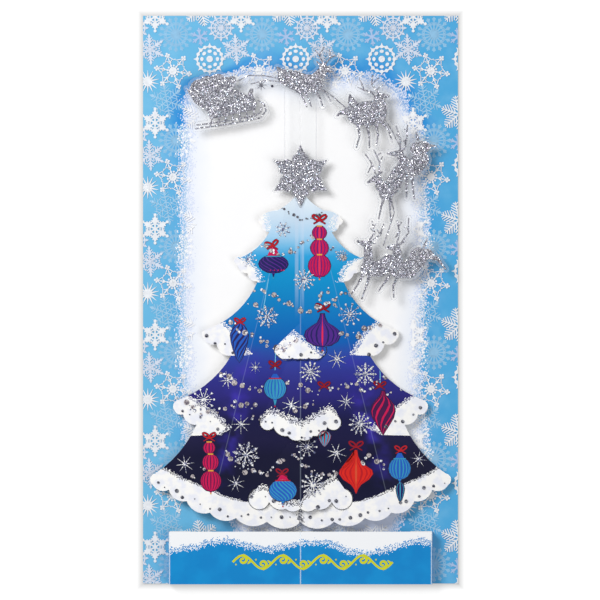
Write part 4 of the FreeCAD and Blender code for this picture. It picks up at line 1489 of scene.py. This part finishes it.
@dataclass
class Tree:
    """Die-cut tree: its print, baubles, foil stars, foil snowflakes and strings of foil dots."""

    folds: tuple[Fold, ...] = (
        Fold((0.0, 0.0), (0.0, 1.0)), Fold((0.0, 55.4), (0.25, -1.0)), Fold((0.0, 55.4), (-0.25, -1.0)),
        Fold((0.0, -8.5), (1.03, -1.0)), Fold((0.0, -8.5), (-1.03, -1.0)),
        Fold((0.0, -12.1), (0.452, -1.0)), Fold((0.0, -12.1), (-0.452, -1.0)),
        Fold((0.0, -46.6), (0.698, -1.0)), Fold((0.0, -46.6), (-0.698, -1.0)))
    stars: tuple[tuple[float, float, float], ...] = (
        (-16.7, -24.9, 2.2), (-27.0, -29.7, 3.0), (13.5, -21.9, 3.3), (-3.5, -38.9, 3.1), (16.8, -37.7, 3.1),
        (-22.0, -46.0, 3.3), (-42.7, -60.7, 3.1), (-23.9, -67.8, 3.0), (13.2, -56.6, 3.5), (43.6, -58.9, 2.8),
        (-6.1, -17.8, 1.9))
    crystals: tuple[tuple[float, float, float], ...] = (
        (1.4, 7.3, 4.1), (-12.4, -6.3, 4.4), (18.2, -5.4, 4.1), (3.7, -26.7, 4.1), (23.9, -27.5, 4.4),
        (-35.8, -36.9, 4.1), (22.0, -45.8, 4.4), (-20.1, -57.3, 5.2), (2.4, -54.3, 3.7), (4.6, -68.3, 4.8),
        (-6.5, 25.9, 3.0), (-19.2, 14.9, 3.0), (15.2, 16.2, 2.2))
    # Arms, tip, branches and beads of the foil snowflakes, which take turns
    styles: tuple = (
        (12, Tip.LEAF, ((0.6, 0.16, 45),), ((0.45, 0.06, 1),)),
        (8, Tip.LEAF, ((0.4, 0.24, 40), (0.62, 0.2, 40)), ((0.8, 0.05, 2),)),
        (10, Tip.BALL, (), ((0.62, 0.05, 2),)))
    baubles: tuple[Bauble, ...] = (
        Bauble((-10.0, 13.2), 5.4, 3.3, Form.BALL, NAVY, VIOLET, 6, -70.0, TEAL, 1.9, 2.8, 0.3,
               dotted=MAGENTA),
        Bauble((7.0, 24.7), 2.6, 2.5, Form.BALL, PURPLE, MAGENTA, 5, stripe_share=0.55, centre=ROSE,
               banded=True),
        Bauble((7.0, 19.1), 3.3, 3.2, Form.BALL, PURPLE, MAGENTA, 7, stripe_share=0.6, centre=ROSE,
               banded=True),
        Bauble((7.0, 12.5), 4.1, 4.1, Form.BALL, PURPLE, MAGENTA, 9, finial=0.9, stripe_share=0.64,
               centre=ROSE, banded=True),
        Bauble((8.1, -12.6), 6.6, 4.6, Form.ONION, VIOLET, NAVY, 9, 0.0, ORANGE, 1.6, stripe_share=0.3,
               centre=ROSE),
        Bauble((-22.6, -15.7), 3.3, 7.4, Form.SPINDLE, BLUE, NAVY, 4, 120.0, stripe_share=0.45),
        Bauble((-9.4, -32.7), 4.1, 4.1, Form.BALL, TEAL, BLUE, 9, 0.0, RED, 2.6, 1.2, 0.34, BLUE),
        Bauble((8.9, -51.3), 2.4, 3.0, Form.SPINDLE, TEAL, RED, 5, stripe_share=0.35),
        Bauble((30.5, -42.6), 4.4, 7.4, Form.TEAR, PLUM, MAGENTA, 4, 60.0, stripe_share=0.3),
        Bauble((-33.7, -54.7), 2.2, 2.2, Form.BALL, MAGENTA, PLUM, 5, stripe_share=0.3, banded=True),
        Bauble((-33.2, -60.0), 3.0, 3.0, Form.BALL, MAGENTA, PLUM, 7, stripe_share=0.3, banded=True),
        Bauble((-33.1, -66.9), 3.8, 3.8, Form.BALL, MAGENTA, PLUM, 9, finial=0.9, stripe_share=0.3,
               banded=True),
        Bauble((-6.5, -70.4), 5.1, 4.1, Form.BALL, BLUE, TEAL, 8, -60.0, RED, 1.8, 1.6, 0.4),
        Bauble((20.5, -63.5), 6.3, 8.0, Form.LANTERN, SCARLET, RED, 9, centre=ORANGE),
        Bauble((36.6, -62.3), 4.1, 4.1, Form.BALL, BLUE, TEAL, 9, 0.0, TEAL, 1.2, 1.6, 0.4, BLUE),
        Bauble((36.8, -71.0), 1.5, 3.8, Form.SPINDLE, NAVY, TEAL, 3, stripe_share=0.3))
    bows: tuple[Bow, ...] = (
        Bow((-10.4, 19.9), 2.6, RED, 14.0), Bow((7.0, 29.4), 2.8, RED), Bow((8.4, -3.2), 2.8, DARK_RED, 6.0),
        Bow((-22.4, -8.3), 2.2, RED), Bow((-9.4, -24.3), 2.4, DARK_RED), Bow((8.7, -32.0), 2.4, DARK_RED),
        Bow((29.3, -31.9), 2.4, DARK_RED), Bow((-33.7, -50.9), 2.6, RED), Bow((-6.8, -64.1), 2.4, DARK_RED),
        Bow((20.5, -54.2), 2.8, DARK_RED), Bow((37.0, -55.6), 2.4, RED))
    strings: tuple[tuple[Point, ...], ...] = (
        ((-11.8, 7.8), (-13.8, -4.0)), ((-9.2, -18.0), (-9.4, -26.0)), ((29.4, -26.0), (29.4, -31.5)))
    garlands: tuple[tuple[Point, ...], ...] = (
        ((-9.0, 35.0), (-4.6, 32.4), (0.0, 29.8), (3.6, 29.6), (8.4, 31.6)),
        ((-13.6, 19.4), (-9.6, 18.0), (-6.4, 17.2), (-2.0, 18.2), (1.6, 21.0), (4.0, 22.8)),
        ((11.4, 18.6), (13.6, 17.2), (16.0, 16.0)),
        ((-19.4, 3.4), (-12.6, 2.2), (-7.6, -0.4), (-2.2, -3.0), (3.0, -4.2), (8.6, -2.6), (14.0, 1.4),
         (17.4, 2.4)),
        ((-20.4, 0.4), (-16.4, -2.0)), ((10.4, 3.6), (7.0, 0.0), (13.4, -2.4)),
        ((-26.0, -8.8), (-19.0, -12.4), (-12.6, -16.0), (-6.0, -18.6), (-2.0, -14.6)),
        ((14.6, -13.2), (20.2, -13.0), (24.6, -10.6), (29.0, -9.2)),
        ((-29.6, -27.4), (-22.0, -31.0), (-15.0, -33.0)), ((-4.0, -31.0), (2.0, -33.4), (6.4, -34.0)),
        ((10.6, -32.8), (18.4, -31.4), (24.4, -33.6), (31.4, -28.8)),
        ((-42.0, -38.6), (-36.4, -42.4), (-29.8, -40.6), (-24.0, -38.2), (-16.6, -39.6)),
        ((-17.8, -43.1), (-14.6, -44.2)), ((-1.6, -41.2), (2.0, -38.6), (4.4, -38.2)),
        ((32.8, -34.0), (36.4, -32.6)), ((-39.6, -64.8), (-36.0, -62.6)),
        ((-27.7, -56.6), (-25.2, -59.1), (-21.0, -63.3), (-17.6, -63.8), (-12.1, -64.4), (-9.7, -61.6),
         (-5.4, -58.7), (-3.0, -57.7), (1.3, -60.2), (5.9, -64.0), (9.1, -64.4), (13.6, -64.2)),
        ((22.9, -59.6), (24.2, -58.0), (27.6, -59.0), (30.4, -61.4)))
    rim_dots: tuple[tuple[Point, ...], ...] = (
        ((-53.0, -67.4), (-47.0, -69.6), (-41.0, -73.4), (-33.0, -77.4), (-24.0, -79.4), (-12.0, -80.8),
         (0.0, -81.0), (12.0, -80.8), (24.0, -79.4), (33.0, -77.4), (41.0, -73.4), (47.0, -69.6),
         (53.0, -67.4)),
        ((-44.4, -40.6), (-40.4, -43.6), (-35.0, -45.0), (-31.0, -47.4)),
        ((44.4, -40.6), (40.4, -43.6), (35.0, -45.0), (31.0, -47.4)),
        ((-34.0, -13.6), (-29.0, -16.0), (-24.6, -19.4)), ((34.0, -13.6), (29.0, -16.0), (24.6, -19.4)),
        ((-13.4, -45.4), (-9.0, -46.2), (-4.6, -49.2), (0.0, -50.4), (4.6, -49.2), (9.0, -46.2),
         (13.4, -45.4)),
        ((-8.0, -19.6), (-4.0, -20.4), (0.0, -20.6), (4.0, -20.4), (7.0, -20.2)),
        ((-17.4, -73.0), (-12.6, -73.6), (-7.0, -76.0)), ((6.0, -75.6), (12.6, -73.6), (17.4, -73.0)))
    foil_lift: float = 0.14
    dot_lift: float = 0.16
    surface: Surface = field(init=False)

    def __post_init__(self) -> None:
        """Reads the sheet that everything is laid on."""
        self.surface = Surface("tree", self.folds)

    def build(self) -> None:
        """Dresses the tree and lays its baubles and foil on it."""
        dress("tree", TreePrint())
        sheet = PrintSheet()
        for course in self.strings:
            sheet.line(course, 0.3, STRING, 1)
        for bauble in self.baubles:
            bauble.draw(sheet)
        for bow in self.bows:
            bow.draw(sheet)
        sheet.piece("bauble_print", "tree_print", self.surface)
        self.build_foil()
        crown, lower = self.garlands[:1], self.garlands[1:]
        self.build_dots("crown_dots", crown, STEEL, 1.0, 0.2, 0.62, 4, 0.6)
        self.build_dots("bright_garlands", lower, SILVER, 2.2, 0.2, 0.66, 5, 1.1)
        self.build_dots("pewter_garlands", lower, PEWTER, 3.0, 0.35, 1.1, 6, 0.9)
        self.build_dots("rim_dots", self.rim_dots, STEEL, 3.6, 0.22, 0.8, 9, 1.0)

    def build_foil(self) -> None:
        """Lays the foil stars and snowflakes on the tree."""
        ring = ring_recipe()
        drawn = []
        for index, (x, y, radius) in enumerate(self.crystals):
            arms, tip, branches, beads = self.styles[index % len(self.styles)]
            drawn.append(Flake((x, y), radius * 0.94, SILVER, arms=arms, stroke=0.1, turn=index * 11.0,
                               tip=tip, taper=0.5, branches=branches, beads=beads).mesh(ring))
        for index, (x, y, radius) in enumerate(self.stars):
            drawn.append(Flake((x, y), radius * 1.1, SILVER, arms=8, stroke=0.13, taper=0.1, turn=index * 9.0,
                               rings=((0.07, 0.12),)).mesh(ring))
        laid_piece("foil_snowflakes", joined(drawn), SILVER, self.surface, self.foil_lift)

    def build_dots(self, name: str, courses: Sequence[Sequence[Point]], foil: Foil, spacing: float,
                   smallest: float, largest: float, seed: int, scatter: float) -> None:
        """Strings foil dots along courses and lays them on the tree.

        Args:
            name: Name of the piece.
            courses: Courses of the strings, in millimetres.
            foil: Their foil.
            spacing: Distance between dots in millimetres.
            smallest: Smallest radius in millimetres.
            largest: Largest radius in millimetres.
            seed: Seed of the sizes.
            scatter: How far a dot strays from its course in millimetres.
        """
        paths = bmesh.new()
        for course in courses:
            row = [paths.verts.new((x * MM, y * MM, 0)) for x, y in course]
            for first, second in zip(row, row[1:]):
                paths.edges.new((first, second))
        dots = garland_recipe().bake(
            mesh_of("courses", paths), finish_of(foil), Spacing=spacing * MM, Smallest=smallest * MM,
            Largest=largest * MM, Scatter=scatter * MM, Seed=seed)
        laid_piece(name, joined([dots]), foil, self.surface, self.dot_lift)


LIME = Ink("flourish_lime", (220, 224, 44))


@dataclass
class MessageBand:
    """Message band: drifted snow, and a scrolling flourish under it."""

    left: float = -25.0
    right: float = 34.0
    middle_y: float = -96.8
    waves: int = 4
    swing: float = 2.5
    stroke: float = 1.2
    surface: Surface = field(default_factory=lambda: Surface("message_band"))

    def build(self) -> None:
        """Dresses the band and draws the flourish."""
        dress("message_band", BandPrint())
        sheet = PrintSheet()
        steps = self.waves * 12
        course = []
        for index in range(steps + 1):
            share = index / steps
            x = self.left + share * (self.right - self.left)
            course.append((x, self.middle_y + self.swing * math.sin(share * self.waves * math.tau)))
        sheet.line(course, self.stroke * 0.7, LIME)
        for wave in range(self.waves * 2):
            share = (wave + 0.5) / (self.waves * 2)
            side = 1 if wave % 2 == 0 else -1
            x = self.left + share * (self.right - self.left)
            self.curl(sheet, (x, self.middle_y + side * self.swing), side)
        sheet.piece("band_flourish", "band_print", self.surface)

    def curl(self, sheet: PrintSheet, start: Point, side: int) -> None:
        """Draws one curl with its leaf and dots.

        Args:
            sheet: Sheet to draw on.
            start: Where it leaves the scroll.
            side: 1 for a curl below the crest, -1 for one above the trough.
        """
        course = []
        widest = 1.7
        for step in range(15):
            angle = math.radians(90 * side - side * step * 26)
            radius = widest * (1 - step / 19)
            course.append((start[0] + radius * math.cos(angle),
                           start[1] - side * widest + radius * math.sin(angle)))
        sheet.line(course, self.stroke, LIME, 1, self.stroke * 0.5)
        sheet.ellipse(course[-1], 0.5, 0.5, LIME, 2, sides=12)
        sheet.ellipse((start[0] + 2.6, start[1] - side * 2.4), 1.15, 0.42, LIME, 1, 40.0 * side, 12)
        sheet.ellipse((start[0] - 2.5, start[1] - side * 3.4), 0.32, 0.32, LIME, 1, sides=8)


@dataclass
class Film:
    """Clear film and its glitter figures, with loose flakes over the lacquer."""

    density: float = 15.0
    flake: float = 0.16
    tilt: float = 0.45
    lift: float = 0.03
    edge_width: float = 0.14
    edge_lift: float = 0.008
    shortest_edge: float = 0.01

    def build(self) -> None:
        """Dresses the film and scatters glitter on its figures."""
        dress("ornament_film", ClearFilm())
        self.draw_edges()
        recipe = glitter_recipe()
        for seed, node in enumerate(("star_glitter", "sleigh_glitter", "reindeer_glitter"), 3):
            dress(node, GlitterBase())
            shapes = bmesh.new()
            shapes.from_mesh(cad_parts[node].data)
            away = [face for face in shapes.faces if face.normal.z < 0.9]
            bmesh.ops.delete(shapes, geom=away, context="FACES")
            for vertex in shapes.verts:
                vertex.co.z += self.lift * MM
            flakes = recipe.bake(
                mesh_of("figure_top", shapes), finish_of(GlitterFlake()), Density=self.density / MM ** 2,
                Flake=self.flake * MM, Tilt=self.tilt, Seed=seed)
            add_piece(node.replace("glitter", "flakes"), flakes)

    def draw_edges(self) -> None:
        """Lays a narrow line along the film's outline, where its cut edge catches the light."""
        film = bmesh.new()
        film.from_mesh(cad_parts["ornament_film"].data)
        bmesh.ops.remove_doubles(film, verts=film.verts[:], dist=1e-6)
        away = [face for face in film.faces if face.normal.z < 0.5]
        bmesh.ops.delete(film, geom=away, context="FACES")
        lines = bmesh.new()
        for edge in film.edges:
            if len(edge.link_faces) != 1 or edge.calc_length() < self.shortest_edge * MM:
                continue
            face = edge.link_faces[0]
            first, second = (vertex.co + face.normal * self.edge_lift * MM for vertex in edge.verts)
            inward = face.normal.cross(second - first).normalized() * self.edge_width * MM
            if inward.dot(face.calc_center_median() - first) < 0:
                inward.negate()
                first, second = second, first
            lines.faces.new([lines.verts.new(corner) for corner in
                             (first, second, second + inward, first + inward)])
        film.free()
        mesh = mesh_of("film_edge", lines)
        mesh.materials.append(finish_of(CutEdge()))
        add_piece("film_edge", mesh)


@dataclass
class Supports:
    """Folded strips that hold tree and band off the card."""

    nodes: tuple[str, ...] = ("tree_spine", "left_riser", "right_riser", "band_spine")

    def build(self) -> None:
        """Dresses the strips in plain paper."""
        for node in self.nodes:
            dress(node, PlainStock())


@dataclass
class Studio:
    """Pale floor with a painted shadow round the card, soft lamps from the upper left and a camera straight
    above.
    """

    view_width: float = 0.222
    lens: float = 300.0
    floor: float = 1.2
    card: Point = (116.5, 210.0)
    middle: Point = (-0.19, -0.13)
    # Name, place and width in metres, and watts
    lamps: tuple = (("key", (-0.42, 0.36, 0.62), 0.34, 4.8), ("fill", (0.5, -0.3, 0.8), 0.6, 2.3))
    room_light: float = 0.34
    floor_level: float = -5e-5
    floor_glow: float = 0.75
    # Grey of the painted shadow ring, then the floor's two greys
    floor_and_painted_shadow_grey: tuple[float, float, float] = (0.28, 0.35, 0.37)
    # Painted shadow, a grey ring on the floor round the card: where it ends and is full, in millimetres off
    # the card, and how deep it is
    ring: tuple[float, float, float] = (3.4, -0.6, 0.5)

    def build(self) -> None:
        """Makes floor, lamps, world and camera."""
        self.make_floor()
        for lamp in self.lamps:
            self.lamp(*lamp)
        world = bpy.data.worlds.new("room")
        bpy.context.scene.world = world
        world.use_nodes = True
        background = world.node_tree.nodes["Background"].inputs
        background[0].default_value = (1, 1, 1, 1)
        background[1].default_value = self.room_light
        camera = bpy.data.cameras.new("camera")
        camera.lens = self.lens
        camera.sensor_width = 36.0
        camera.clip_end = 20.0
        holder = bpy.data.objects.new("camera", camera)
        bpy.context.scene.collection.objects.link(holder)
        away = self.view_width / 2 / (camera.sensor_width / 2 / self.lens)
        holder.location = (self.middle[0] * MM, self.middle[1] * MM, away)
        bpy.context.scene.camera = holder
        bpy.context.scene.view_settings.view_transform = "Standard"

    def make_floor(self) -> None:
        """Makes the floor: white to the camera, it keeps the card's shadow, and a grey ring of painted shadow
        lies round the card.
        """
        mesh = bpy.data.meshes.new("floor")
        half = self.floor / 2
        corners = [(x * half, y * half, self.floor_level) for x, y in ((-1, -1), (1, -1), (1, 1), (-1, 1))]
        mesh.from_pydata(corners, [], [(0, 1, 2, 3)])
        ground = bpy.data.objects.new("floor", mesh)
        bpy.context.scene.collection.objects.link(ground)
        graph = Graph("floor")
        path = graph.add("ShaderNodeLightPath")
        seen = graph.math("MAXIMUM", path.outputs["Is Glossy Ray"], path.outputs["Is Transmission Ray"])
        seen = graph.math("MAXIMUM", seen, path.outputs["Is Camera Ray"])
        beside = graph.math("SUBTRACT", graph.math("ABSOLUTE", graph.x), self.card[0] / 2)
        above = graph.math("SUBTRACT", graph.math("ABSOLUTE", graph.y), self.card[1] / 2)
        end, full, deep = self.ring
        # Painted shadow: near the card the floor turns grey and glows less
        near = graph.ease(graph.math("MAXIMUM", beside, above), end, full)
        level = graph.math("MULTIPLY_ADD", near, -deep, 1.0)
        painted_shadow_grey, low, high = ((grey, grey, grey, 1) for grey in self.floor_and_painted_shadow_grey)
        grain = graph.mix(graph.noise(30.0), low, high)
        glow = graph.math("MULTIPLY", graph.math("MULTIPLY", seen, self.floor_glow), level)
        graph.set(Base_Color=graph.mix(near, grain, painted_shadow_grey), Roughness=0.9, Emission_Color=(1, 1, 1, 1),
                  Emission_Strength=glow)
        mesh.materials.append(graph.material)

    def lamp(self, name: str, place: tuple[float, float, float], size: float, power: float) -> None:
        """Adds a square area lamp aimed at the card.

        Args:
            name: Name of the lamp.
            place: Where it stands, in metres.
            size: Its side in metres.
            power: Its power in watts.
        """
        light = bpy.data.lights.new(name, "AREA")
        light.size = size
        light.energy = power
        holder = bpy.data.objects.new(name, light)
        bpy.context.scene.collection.objects.link(holder)
        holder.location = place
        holder.rotation_euler = (-Vector(place)).to_track_quat("-Z", "Y").to_euler()


def main() -> None:
    """Builds the dressed card piece by piece."""
    for part in (Studio(), BaseCard(), Supports(), Tree(), MessageBand(), Film()):
        log.info("building %s", type(part).__name__)
        part.build()
    bpy.context.view_layer.update()


if __name__ == "__main__":
    logging.basicConfig(level=logging.INFO, format="%(name)s %(message)s")
    main()
